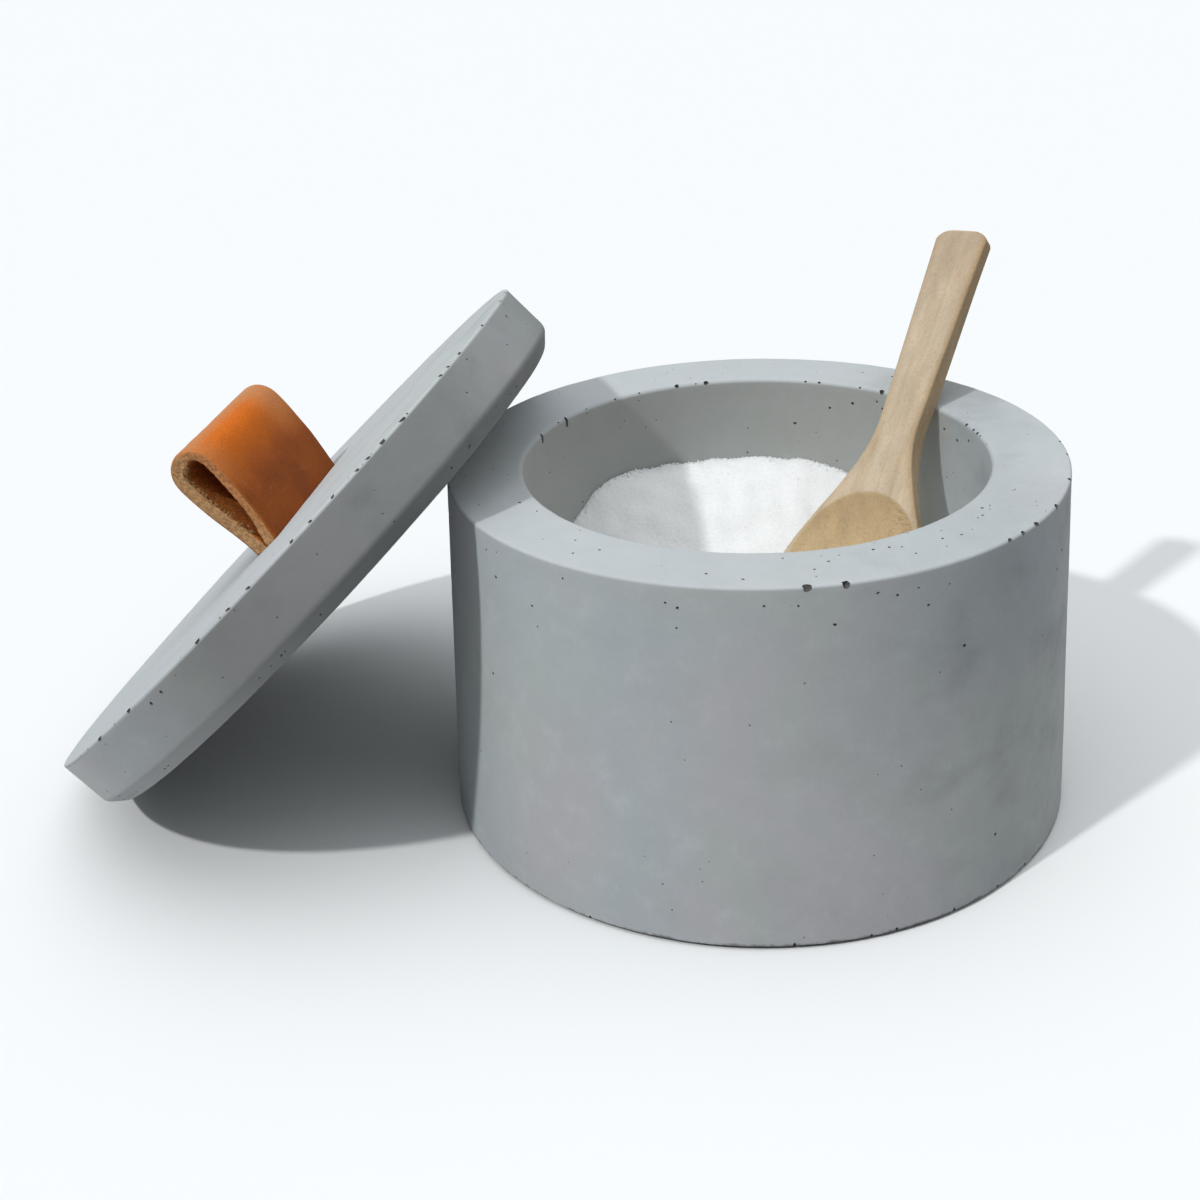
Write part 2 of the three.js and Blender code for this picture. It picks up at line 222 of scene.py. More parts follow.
def arc(centre, radius, first, last, step):
    """Points round a centre from the first angle in degrees towards the last one, which is left out."""
    count = max(1, math.ceil(abs(last - first) / step))
    angles = np.radians(between(first, last, np.arange(count) / count))
    return [np.array(centre) + radius * np.array((math.cos(a), math.sin(a))) for a in angles]


def skin(rings):
    """Points and faces of a closed body over rings of equally many points, with a fan over each end."""
    rows, columns = rings.shape[:2]
    points = rings.reshape(-1, 3)
    column = np.arange(columns)
    after = (column + 1) % columns
    faces = []
    for row in range(rows - 1):
        low = row * columns
        high = low + columns
        quads = np.stack([low + column, low + after, high + after, high + column], axis=1)
        faces += quads.tolist()
    first_centre = len(points)
    last_ring = (rows - 1) * columns
    points = np.vstack([points, rings[0].mean(axis=0), rings[-1].mean(axis=0)])
    faces += [[first_centre, int(b), int(a)] for a, b in zip(column, after)]
    faces += [[first_centre + 1, last_ring + int(a), last_ring + int(b)] for a, b in zip(column, after)]
    return points, faces


def in_scene(name, data):
    made = bpy.data.objects.new(name, data)
    bpy.context.scene.collection.objects.link(made)
    return made


def piece(name, points, faces, finishes, stand=None):
    """An object from points and faces. Those of a piece that stands aslant are moved to its stand."""
    mesh = bpy.data.meshes.new(name)
    mesh.from_pydata(points.tolist(), [], faces)
    if stand is not None:
        mesh.transform(stand)
    for finish in finishes:
        mesh.materials.append(finish)
    mesh.shade_smooth()
    return in_scene(name, mesh)


def turned(outline, sides):
    """Rings of a body turned about Z, and the outward direction at each point."""
    outline = np.array(outline)
    along = np.gradient(outline, axis=0)
    outward = unit(np.stack([along[:, 1], -along[:, 0]], axis=1))
    angles = all_round(sides)
    rings = np.empty((len(outline), sides, 3))
    facing = np.empty((len(outline), sides, 3))
    for target, source in ((rings, outline), (facing, outward)):
        target[..., 0] = source[:, :1] * np.cos(angles)
        target[..., 1] = source[:, :1] * np.sin(angles)
        target[..., 2] = source[:, 1:]
    return rings, facing


# Where the lid, the pull and the spoon stand
def lid_place():
    """The lid's own frame: its underside at z 0, x up the slope."""
    sine = math.sin(LID_LEAN)
    cosine = math.cos(LID_LEAN)
    edge_radius = RIM_RADIUS - RIM_OUTER_ROUND
    edge_height = BOWL_HEIGHT - RIM_OUTER_ROUND
    away = edge_radius * sine + edge_height * cosine + RIM_OUTER_ROUND + CLEARANCE
    height = max((LID_RADIUS - LID_CHAMFER) * sine, LID_RADIUS * sine - LID_CHAMFER * cosine)
    along = (height - away * cosine) / sine
    centre = Vector((along * cosine - away * sine, 0, height))
    return Matrix.Translation(centre) @ Matrix.Rotation(-LID_LEAN, 4, "Y")


def spoon_half_width(along):
    tip = SPOON_BOWL_WIDTH / 2 * np.sqrt(np.clip(1 - (1 - along / WIDEST_FROM_TIP) ** 2, 0, None))
    flare = (1 + np.cos(math.pi * (along - WIDEST_FROM_TIP) / (NECK_FROM_TIP - WIDEST_FROM_TIP))) / 2
    shoulder = between(NECK_WIDTH / 2, SPOON_BOWL_WIDTH / 2, flare)
    up_handle = (along - NECK_FROM_TIP) / (SPOON_LENGTH - NECK_FROM_TIP)
    into_corner = np.clip(along - (SPOON_LENGTH - HANDLE_CORNER), 0, HANDLE_CORNER)
    rounded_off = HANDLE_CORNER_ACROSS * (1 - np.sqrt(1 - (into_corner / HANDLE_CORNER) ** 2))
    handle = between(NECK_WIDTH, HANDLE_END_WIDTH, up_handle) / 2 - rounded_off
    return np.where(along < WIDEST_FROM_TIP, tip, np.where(along < NECK_FROM_TIP, shoulder, handle))


def spoon_thickness(along):
    neck = between(SPOON_EDGE, NECK_THICKNESS, eased(along, WIDEST_FROM_TIP, NECK_FROM_TIP))
    handle = between(NECK_THICKNESS, HANDLE_END_THICKNESS, eased(along, NECK_FROM_TIP, SPOON_LENGTH))
    return np.where(along < NECK_FROM_TIP, neck, handle)


def out_of_hollow(across, along):
    """0 in the middle of the spoon's hollow and 1 along its edge, for numbers and for wires."""
    from_middle = (along - HOLLOW_RIM - HOLLOW_LENGTH / 2) / (HOLLOW_LENGTH / 2)
    from_axis = across / (SPOON_BOWL_WIDTH / 2 - HOLLOW_RIM)
    return from_middle * from_middle + from_axis * from_axis


def spoon_place():
    """The spoon's own frame: its tip at the origin, y up the handle, z out of its face."""
    up = Vector(about_axis(SPOON_HEADING, math.sin(SPOON_LEAN), math.cos(SPOON_LEAN)))
    level = Vector((math.sin(SPOON_HEADING), -math.cos(SPOON_HEADING), 0))
    across = Matrix.Rotation(-SPOON_ROLL, 3, up) @ level
    out = across.cross(up)
    tangent = Vector((-math.sin(SPOON_REST_ANGLE), math.cos(SPOON_REST_ANGLE), 0))
    away = up.cross(tangent).normalized()
    if away.z < 0:
        away.negate()
    edge = CAVITY_RADIUS + RIM_INNER_ROUND
    rest = Vector(about_axis(SPOON_REST_ANGLE, edge, BOWL_HEIGHT - RIM_INNER_ROUND))
    rest += away * (RIM_INNER_ROUND + CLEARANCE)
    station = np.array(SPOON_REST_FROM_TIP)
    rest -= across * float(spoon_half_width(station))
    rest += out * float(spoon_thickness(station))
    tip = rest - up * SPOON_REST_FROM_TIP
    axes = Matrix((across, up, out)).transposed().to_4x4()
    return Matrix.Translation(tip) @ axes


lid_stand = lid_place()
pull_stand = lid_stand @ Matrix.Translation((SLOT_UP_SLOPE, SLOT_ASIDE, LID_THICKNESS))
spoon_stand = spoon_place()


# Materials
class Wire:
    """An output of a node. Sums and products of wires add Math nodes."""

    def __init__(self, finish, socket):
        self.finish = finish
        self.socket = socket

    def __add__(self, other):
        return self.finish.maths("ADD", self, other)

    def __radd__(self, other):
        return self.finish.maths("ADD", other, self)

    def __sub__(self, other):
        return self.finish.maths("SUBTRACT", self, other)

    def __rsub__(self, other):
        return self.finish.maths("SUBTRACT", other, self)

    def __mul__(self, other):
        return self.finish.maths("MULTIPLY", self, other)

    def __rmul__(self, other):
        return self.finish.maths("MULTIPLY", other, self)

    def __truediv__(self, other):
        return self.finish.maths("DIVIDE", self, other)

    def __rtruediv__(self, other):
        return self.finish.maths("DIVIDE", other, self)

    def __abs__(self):
        return self.finish.maths("ABSOLUTE", self, 0.0)

    def axis(self, name):
        return self.finish.node("ShaderNodeSeparateXYZ", None, {"Vector": self}, name)

    def stretched(self, *scale):
        return self.finish.node("ShaderNodeMapping", None, {"Vector": self, "Scale": scale})

    def clouds(self, size, detail=2.0, roughness=0.5, drift=0.0):
        """A soft random value round 0.5, with patches about size across, which drift makes wispy."""
        sockets = {"Vector": self, "Scale": 1 / size, "Detail": detail, "Roughness": roughness}
        return self.finish.node("ShaderNodeTexNoise", None, {**sockets, "Distortion": drift})

    def dots(self, size):
        """The distance to the nearest of many scattered points about a size apart, in such sizes."""
        return self.finish.node("ShaderNodeTexVoronoi", None, {"Vector": self, "Scale": 1 / size}, "Distance")

    def rising(self, low, high):
        """0 below low and 1 above high, or the other way round where high is the lower one."""
        sockets = {"Value": self, "From Min": low, "From Max": high}
        return self.finish.node("ShaderNodeMapRange", {"interpolation_type": "SMOOTHSTEP"}, sockets)


class Finish:
    """A node tree, filled one node at a time."""

    def __init__(self, tree):
        self.tree = tree

    def node(self, kind, settings=None, sockets=None, output=0):
        made = self.tree.nodes.new(kind)
        for name, value in (settings or {}).items():
            setattr(made, name, value)
        for name, value in (sockets or {}).items():
            self.feed(made.inputs[name], value)
        return Wire(self, made.outputs[output])

    def feed(self, socket, value):
        if isinstance(value, Wire):
            self.tree.links.new(value.socket, socket)
        else:
            socket.default_value = value

    def maths(self, operation, first, second):
        return self.node("ShaderNodeMath", {"operation": operation}, {0: first, 1: second})

    def place(self, stand=None):
        """A point's place, or its place in the frame of a piece that stands aslant."""
        place = self.node("ShaderNodeTexCoord", output="Object")
        if stand is None:
            return place
        sockets = {"Vector": place, "Location": stand.to_translation(), "Rotation": stand.to_euler()}
        return self.node("ShaderNodeMapping", {"vector_type": "TEXTURE"}, sockets)

    def mixed(self, share, first, second, blend="MIX"):
        settings = {"data_type": "RGBA", "blend_type": blend}
        return self.node("ShaderNodeMix", settings, {0: share, 6: first, 7: second}, 2)

    def coated(self, colour, *coats):
        """A colour under coats of other colours, each laid on by its share."""
        for share, coat in coats:
            colour = self.mixed(share, colour, coat)
        return colour

    def toned(self, colour, tone):
        return self.mixed(1.0, colour, tone, "MULTIPLY")

    def relief(self, height, strength, depth):
        return self.node("ShaderNodeBump", None, {"Height": height, "Strength": strength, "Distance": depth})


def surface(name, fill):
    """A material. fill adds its nodes and gives the wires and values for the shader's sockets."""
    material = bpy.data.materials.new(name)
    material.use_nodes = True
    finish = Finish(material.node_tree)
    shader = material.node_tree.nodes["Principled BSDF"]
    for socket, value in fill(finish).items():
        finish.feed(shader.inputs[socket], value)
    return material


CONCRETE_COOL = (0.53, 0.585, 0.603, 1)
CONCRETE_ROSY = (0.57, 0.568, 0.597, 1)
CONCRETE_OLIVE = (0.532, 0.582, 0.552, 1)
# Painted shade for the bowl's right side, which turns away from the light
CONCRETE_SHADED = (0.38, 0.42, 0.434, 1)
# Painted shade inside the cavity, a little olive
CONCRETE_INSIDE_SHADE = (0.408, 0.42, 0.40, 1)
# Painted shade where the foot meets the floor
CONCRETE_FOOT_SHADE = (0.12, 0.13, 0.13, 1)
# Painted shade up the lid's rim and on its underside
CONCRETE_EDGE_SHADE = (0.236, 0.243, 0.239, 1)
# Painted shade on the lid's lower edge, and painted light at its end on the floor
CONCRETE_UNDER_SHADE = (0.235, 0.245, 0.243, 1)
CONCRETE_TOE_LIGHT = (0.78, 0.805, 0.815, 1)
CONCRETE_BLOOM = (0.66, 0.70, 0.712, 1)
CONCRETE_FACE = (0.511, 0.545, 0.557, 1)
# Painted shade for pits and pinholes
PIT_SHADE = (0.06, 0.06, 0.058, 1)
PIT_SHADE_PALE = (0.19, 0.19, 0.182, 1)
FACE_DEPTH = 0.4 * MM
# Where painted shade grows along X: the bowl's right side, and up the lid's slope
DARKENS_RIGHTWARD = (-5 * MM, 50 * MM)


def bowl_marks(finish, place, colour):
    """Painted shade: darker up the right, where the wall turns from the light, and less so at its far right
    edge; darker inside the cavity, but for the lit right inner wall; and a ragged dark line of painted shade
    along the foot.
    """
    across, deep, up = map(place.axis, "XYZ")
    chips = place.clouds(2.2 * MM, 3, 0.65)
    # Painted shade inside the cavity, taken back by painted light on the lit right inner wall
    inner = (across * across + deep * deep).rising((CAVITY_RADIUS + FACE_DEPTH) ** 2, CAVITY_RADIUS**2)
    painted_lit_inside = across.rising(20 * MM, 40 * MM) * deep.rising(29 * MM, 22 * MM)
    # Painted shade up the right of the wall, lighter again at its far right edge as painted light from the
    # right
    painted_right_shade = across.rising(*DARKENS_RIGHTWARD) * up.rising(20 * MM, 62 * MM)
    painted_right_shade = painted_right_shade * (1 - 0.7 * across.rising(46 * MM, 61 * MM))
    # Painted shade along the foot, with a ragged upper edge
    foot = (up + chips * (2 * MM)).rising(2.3 * MM, 1.5 * MM)
    return finish.coated(
        colour,
        (painted_right_shade * 0.7, CONCRETE_SHADED),
        (inner * (0.92 - 0.85 * painted_lit_inside), CONCRETE_INSIDE_SHADE),
        (foot * 0.85, CONCRETE_FOOT_SHADE),
    )


def lid_marks(finish, place, colour):
    """Painted shade darker up the rim, more so along its lower edge, and a little on the underside; painted
    light makes the end that stands on the floor pale, its lower edge included.
    """
    across, deep, up = map(place.axis, "XYZ")
    rim_start = LID_RADIUS - 5 * MM
    outer = (across * across + deep * deep).rising(rim_start**2, (rim_start + 1.5 * MM) ** 2)
    rim = outer * up.rising(LID_THICKNESS - FACE_DEPTH, LID_THICKNESS - 2 * FACE_DEPTH)
    # Painted shade up the rim, less at its very top
    raised = across.rising(-30 * MM, 16 * MM) * (1 - 0.4 * across.rising(58 * MM, 68 * MM))
    # Painted light at the end that stands on the floor
    painted_toe_light = across.rising(-24 * MM, -46 * MM)
    # Painted shade on the underside
    underside = (1 - outer) * up.rising(0.8 * MM, 0.2 * MM)
    # The lower edge: painted light at its floor end, painted shade further up
    lower_edge_light_and_shade = finish.mixed(across.rising(-40 * MM, 45 * MM), CONCRETE_TOE_LIGHT, CONCRETE_UNDER_SHADE)
    return finish.coated(
        colour,
        (rim * painted_toe_light, CONCRETE_TOE_LIGHT),
        (rim * raised * 0.88 + underside * 0.45, CONCRETE_EDGE_SHADE),
        (rim * up.rising(4.2 * MM, 2.4 * MM) * 0.95, lower_edge_light_and_shade),
    )


def concrete_skin(face_height, marks, stand=None):
    """Cast concrete, cloudy grey with fine pinholes painted dark for their shade, plainer on its top face,
    and darker towards +X with painted shade.
    """

    def fill(finish):
        place = finish.place(stand)
        drifts = place.clouds(52 * MM, 3, 0.5, 0.5)
        smoke = place.clouds(26 * MM, 5, 0.58, 0.5)
        patches = place.stretched(1.0, 1.0, 0.7).clouds(36 * MM, 3, 0.5, 0.4)
        bloom = place.clouds(6 * MM, 5, 0.68)
        veil = place.stretched(1.0, 1.0, 1.4).clouds(17 * MM, 4, 0.55).rising(0.48, 0.74)
        grit = place.clouds(0.8 * MM, 3, 0.7)
        # Pinholes painted as dark dots, standing for their shade
        pinholes = place.dots(4.5 * MM).rising(0.05, 0.028)
        face = place.axis("Z").rising(face_height - 2 * FACE_DEPTH, face_height - FACE_DEPTH)
        # Painted shade towards +X: less of the top face's colour, and a darker tone
        right = place.axis("X").rising(*DARKENS_RIGHTWARD)
        colour = finish.coated(
            CONCRETE_COOL,
            (drifts.rising(0.36, 0.64), CONCRETE_ROSY),
            (patches.rising(0.44, 0.7) * 0.75, CONCRETE_OLIVE),
            (bloom.rising(0.52, 0.74) * 0.26, CONCRETE_BLOOM),
        )
        colour = marks(finish, place, colour)
        colour = finish.mixed(face * (0.85 - 0.4 * right), colour, CONCRETE_FACE)
        tone = 0.85 + 0.14 * smoke + 0.12 * bloom + 0.09 * grit - 0.02 * veil
        tone = tone + right * (0.16 * smoke + 0.05 * grit - 0.15 * veil - 0.11)
        return {
            "Base Color": finish.mixed(pinholes * 0.75, finish.toned(colour, tone), PIT_SHADE),
            "Roughness": 0.76 + 0.2 * grit,
            "Normal": finish.relief(grit * 0.3 + bloom * 0.3 - pinholes, 0.4, 0.2 * MM),
            "Specular IOR Level": 0.25,
        }

    return fill


# Painted shade: the inside of every pit and of the slot is dark grey, deepening the shade there
def pit_floor(finish):
    grit = finish.place().clouds(0.5 * MM, 3, 0.7)
    return {
        "Base Color": finish.mixed(grit, PIT_SHADE, PIT_SHADE_PALE),
        "Roughness": 0.85 + 0.1 * grit,
        "Specular IOR Level": 0.1,
    }


# Painted light on the crown; painted shade with the strap's own red-brown down the leaves
LEATHER_LIT = (0.74, 0.172, 0.012, 1)
LEATHER_DEEP = (0.232, 0.056, 0.010, 1)
# Wear on creases, ends and edges, and also painted sheen along the ridge
LEATHER_WEAR_AND_SHEEN = (0.53, 0.25, 0.105, 1)
LEATHER_RAW = (0.67, 0.40, 0.19, 1)
LEATHER_RAW_RED = (0.72, 0.30, 0.115, 1)
LEATHER_RAW_DARK = (0.32, 0.155, 0.07, 1)
LEATHER_FLESH = (0.44, 0.135, 0.035, 1)
LEATHER_FLESH_PALE = (0.82, 0.34, 0.085, 1)


def leather_grain(finish):
    """The smooth outside of the strap: painted light makes it bright orange over the crown and painted shade
    red-brown below; worn at its ends, with wear and painted sheen along the ridge.
    """
    place = finish.place(pull_stand)
    blotches = place.clouds(11 * MM, 4, 0.55)
    pores = place.stretched(1.0, 0.7, 1.0).dots(0.6 * MM)
    creases = place.stretched(1.0, 0.35, 1.0).clouds(1.3 * MM, 3, 0.6)
    specks = place.clouds(0.45 * MM, 3, 0.8)
    aside = place.axis("Y")
    up = place.axis("Z")
    half_width = STRAP_WIDTH / 2
    cut = abs(aside).rising(half_width - 0.6 * MM, half_width - 0.1 * MM)
    handled = aside.rising(half_width - 15 * MM, half_width - 3 * MM) * 0.75
    handled = handled + aside.rising(10 * MM - half_width, -half_width) * 0.4
    # Painted light over the crown, fading to painted shade down the leaves
    crown = up.rising(8.5 * MM, 22.5 * MM)
    # Pale along the ridge: partly wear, partly painted sheen
    ridge_wear_and_sheen = up.rising(LOOP_HEIGHT - 3.5 * MM, LOOP_HEIGHT - 0.5 * MM)
    colour = finish.coated(
        LEATHER_DEEP,
        (crown * 0.86 + blotches.rising(0.4, 0.7) * 0.14, LEATHER_LIT),
        (creases.rising(0.55, 0.78) * 0.14, LEATHER_WEAR_AND_SHEEN),
        (pores.rising(0.3, 0.1) * 0.3, LEATHER_DEEP),
        (cut * 0.2 + handled * crown, LEATHER_WEAR_AND_SHEEN),
        (ridge_wear_and_sheen * 0.75, LEATHER_WEAR_AND_SHEEN),
    )
    return {
        "Base Color": finish.toned(colour, 0.58 + 0.84 * specks),
        "Roughness": 0.46 + 0.16 * creases,
        "Normal": finish.relief(pores.rising(0.05, 0.35) + creases, 0.25, 0.12 * MM),
        "Specular IOR Level": 0.07,
    }


def leather_raw(finish):
    """The cut sides of the strap: tan fibres with dark specks between them, redder up the right leaf."""
    place = finish.place(pull_stand)
    fibres = place.stretched(1.0, 2.0, 0.6).clouds(0.5 * MM, 4, 0.7)
    specks = place.dots(0.7 * MM)
    reddened = place.axis("X").rising(0.5 * MM, 4.5 * MM)
    return {
        "Base Color": finish.coated(
            LEATHER_RAW,
            (reddened * 0.95, LEATHER_RAW_RED),
            (fibres.rising(0.66, 0.26), LEATHER_RAW_DARK),
            (specks.rising(0.24, 0.1) * 0.35, LEATHER_DEEP),
        ),
        "Roughness": 0.8 + 0.15 * fibres,
        "Normal": finish.relief(fibres, 0.6, 0.2 * MM),
        "Specular IOR Level": 0.08,
    }


def leather_flesh(finish):
    """The fuzzy inside of the strap."""
    nap = finish.place(pull_stand).clouds(0.45 * MM, 4, 0.7)
    return {
        "Base Color": finish.mixed(nap.rising(0.4, 0.7), LEATHER_FLESH, LEATHER_FLESH_PALE),
        "Roughness": 0.88 + 0.1 * nap,
        "Normal": finish.relief(nap, 0.8, 0.25 * MM),
        "Specular IOR Level": 0.05,
    }


WOOD_PALE = (0.61, 0.50, 0.365, 1)
WOOD_WARM = (0.50, 0.365, 0.215, 1)
WOOD_ROSY = (0.50, 0.365, 0.255, 1)
WOOD_GOLD = (0.40, 0.255, 0.115, 1)
WOOD_HONEY = (0.63, 0.465, 0.24, 1)
WOOD_FLECK = (0.27, 0.17, 0.085, 1)
WOOD_CHALK = (0.69, 0.60, 0.46, 1)


def spoon_wood(finish):
    """Bare wood with flecks and soft streaks along the handle, golden at the arrises and in the hollow, with
    painted shade over the upper hollow and the right side face.
    """
    place = finish.place(spoon_stand)
    across = place.axis("X")
    along = place.axis("Y")
    dashes = place.stretched(1.0, 0.22, 1.0).dots(0.6 * MM)
    streaks = place.stretched(1.0, 0.05, 1.0).clouds(1.5 * MM, 4, 0.6)
    bands = place.stretched(1.0, 0.14, 1.0).clouds(6 * MM, 3)
    mottle = place.stretched(1.0, 0.4, 1.0).clouds(4.5 * MM, 5, 0.65)
    speckle = place.stretched(1.0, 0.45, 1.0).clouds(0.3 * MM, 3, 0.7)
    lines = place.stretched(0.4, 1.6, 1.0).clouds(0.6 * MM, 2, 0.6)
    # Golden wear along the arrises; on the right side face, turned from the light, it is laid on thicker as
    # painted shade
    arris_wear_and_shade = finish.node("ShaderNodeAttribute", {"attribute_name": "arris"}, None, "Fac")
    hollow = out_of_hollow(across, along).rising(1.03, 0.97)
    # Painted shade over the upper part of the hollow, under its rim
    shaded_upper_hollow = hollow * along.rising(18 * MM, 40 * MM)
    right_hollow = hollow * across.rising(1 * MM, 9 * MM)
    handle_end = along.rising(SPOON_LENGTH - 26 * MM, SPOON_LENGTH - 3 * MM)
    colour = finish.coated(
        WOOD_PALE,
        (streaks.rising(0.42, 0.7) * 0.4 + bands.rising(0.42, 0.7) * 0.4, WOOD_WARM),
        (hollow * 0.65, WOOD_HONEY),
        (handle_end * 0.5, WOOD_ROSY),
        (shaded_upper_hollow * 0.36, WOOD_GOLD),
        (right_hollow * lines.rising(0.5, 0.62) * 0.5, WOOD_FLECK),
        (arris_wear_and_shade * (0.2 + 0.35 * across.rising(-2 * MM, 2 * MM)), WOOD_GOLD),
        (speckle.rising(0.55, 0.75) * 0.35, WOOD_CHALK),
        (speckle.rising(0.45, 0.28) * 0.3, WOOD_FLECK),
        (dashes.rising(0.2, 0.09) * 0.25, WOOD_FLECK),
    )
    return {
        "Base Color": finish.toned(colour, 0.57 + 0.66 * mottle + 0.2 * speckle),
        "Roughness": 0.62 + 0.2 * speckle,
        "Normal": finish.relief(speckle + dashes.rising(0.09, 0.2), 0.22, 0.1 * MM),
        "Specular IOR Level": 0.15,
    }


SUGAR_WHITE = (0.935, 0.968, 0.995, 1)
SUGAR_GREY = (0.87, 0.912, 0.958, 1)
SUGAR_BRIGHT = (0.95, 0.975, 0.995, 1)
SUGAR_GLOW_DEPTH = 0.8 * MM
CRYSTAL_GLOW_DEPTH = 0.08 * MM


def sugar_glow(depth):
    """The light that goes into white sugar and comes out again nearby."""
    return {
        "Subsurface Weight": 1.0,
        "Subsurface Radius": (1.0, 1.0, 1.0),
        "Subsurface Scale": depth,
    }


def sugar_mass(finish):
    place = finish.place()
    grains = place.dots(0.6 * MM)
    lumps = place.clouds(0.5 * MM, 2, 0.6)
    return {
        "Base Color": finish.mixed(grains.rising(0.35, 0.75), SUGAR_WHITE, SUGAR_GREY),
        "Roughness": 0.6 + 0.2 * lumps,
        "Normal": finish.relief(lumps - grains, 0.32, 0.12 * MM),
        **sugar_glow(SUGAR_GLOW_DEPTH),
    }


def sugar_grain(finish):
    facets = finish.place().clouds(0.9 * MM, 1)
    return {
        "Base Color": finish.mixed(facets, SUGAR_WHITE, SUGAR_BRIGHT),
        "Roughness": 0.3 + 0.3 * facets,
        **sugar_glow(CRYSTAL_GLOW_DEPTH),
    }


bowl_concrete = surface("bowl_concrete", concrete_skin(BOWL_HEIGHT, bowl_marks))
lid_concrete = surface("lid_concrete", concrete_skin(LID_THICKNESS, lid_marks, lid_stand))
concrete_pit = surface("concrete_pit", pit_floor)
strap_grain = surface("strap_grain", leather_grain)
strap_side = surface("strap_side", leather_raw)
strap_flesh = surface("strap_flesh", leather_flesh)
wood = surface("pale_wood", spoon_wood)
sugar_white = surface("sugar_white", sugar_mass)
sugar_crystal = surface("sugar_crystal", sugar_grain)


# Concrete castings with pits
PIT_SINK = 0.3
PIT_SPACING = 1.25
PIT_KNOBS = 0.16
PIT_KNOB_SIZE = 1.3
PIT_TILT = 0.5
UPRIGHT = math.pi / 2
WORLD_UP = np.array((0.0, 0.0, 1.0))
HIDDEN_SIDE = (8, 205)
SHARP_ANGLE = math.radians(40)


def uneven(rings, facing, seed):
    """The castings aren't perfectly true: their skin is sunk by up to about a tenth of a millimetre."""
    broad = 0.03 * MM * (1.2 + ripples(rings, 26 * MM, seed))
    close = 0.014 * MM * (1.2 + ripples(rings, 5 * MM, seed + 1))
    sunk = np.clip(broad + close, 0, None)
    return rings - facing * sunk[..., None]


def ball():
    """Points and triangles of a small ball, the shape of one pit."""
    made = bmesh.new()
    bmesh.ops.create_icosphere(made, subdivisions=2, radius=1)
    points = np.array([v.co for v in made.verts])
    faces = np.array([[v.index for v in f.verts] for f in made.faces])
    made.free()
    return points, faces


BALL_POINTS, BALL_FACES = ball()


class Pits:
    """Air holes of one casting, each a knobbly ball that is cut out of its skin."""

    def __init__(self, seed):
        self.chance = np.random.default_rng(seed)
        self.points = []
        self.faces = []
        self.placed = []

    def draw(self, low, high):
        return self.chance.uniform(low, high)

    def size(self, low, high):
        """A random measure in metres, from a range in millimetres."""
        return self.draw(low, high) * MM

    def anywhere(self):
        return self.draw(0, 2 * math.pi)

    def behind(self):
        """An angle on the side that the photo doesn't show."""
        return math.radians(self.draw(*HIDDEN_SIDE))

    def add(self, angle, radius, height, out, up, width, length, tilt=None):
        """One pit, facing out and up by those shares. Its length lies about level, or is turned by tilt."""
        spot = about_axis(angle, radius, height)
        reach = max(width, length) / 2
        if any(np.linalg.norm(spot - other) < PIT_SPACING * (reach + far) for other, far in self.placed):
            return
        self.placed.append((spot, reach))
        facing = unit(out * about_axis(angle, 1, 0) + up * WORLD_UP)
        level = about_axis(angle + math.pi / 2, 1, 0)
        rise = np.cross(facing, level)
        turn = self.draw(-PIT_TILT, PIT_TILT) if tilt is None else tilt
        first = math.cos(turn) * level + math.sin(turn) * rise
        second = np.cross(facing, first)
        seed = int(self.chance.integers(1, 10**6))
        knobs = 1 + PIT_KNOBS * ripples(BALL_POINTS, PIT_KNOB_SIZE, seed)[:, None]
        shape = BALL_POINTS * knobs * (length / 2, width / 2, width / 2)
        turned_shape = shape[:, :1] * first + shape[:, 1:2] * second + shape[:, 2:] * facing
        self.faces += (BALL_FACES + len(self.points) * len(BALL_POINTS)).tolist()
        self.points.append(turned_shape + spot - facing * PIT_SINK * width / 2)

    def cutter(self, name):
        return piece(name, np.vstack(self.points), self.faces, [concrete_pit])


def carve(casting, cutter):
    cut = casting.modifiers.new("pits", "BOOLEAN")
    cut.object = cutter
    cut.operation = "DIFFERENCE"
    cut.solver = "MANIFOLD"
    cut.material_mode = "TRANSFER"
    depsgraph = bpy.context.evaluated_depsgraph_get()
    carved = bpy.data.meshes.new_from_object(casting.evaluated_get(depsgraph))
    casting.modifiers.clear()
    casting.data = carved
    bpy.data.objects.remove(cutter)
    carved.shade_smooth()
    carved.set_sharp_from_angle(angle=SHARP_ANGLE)


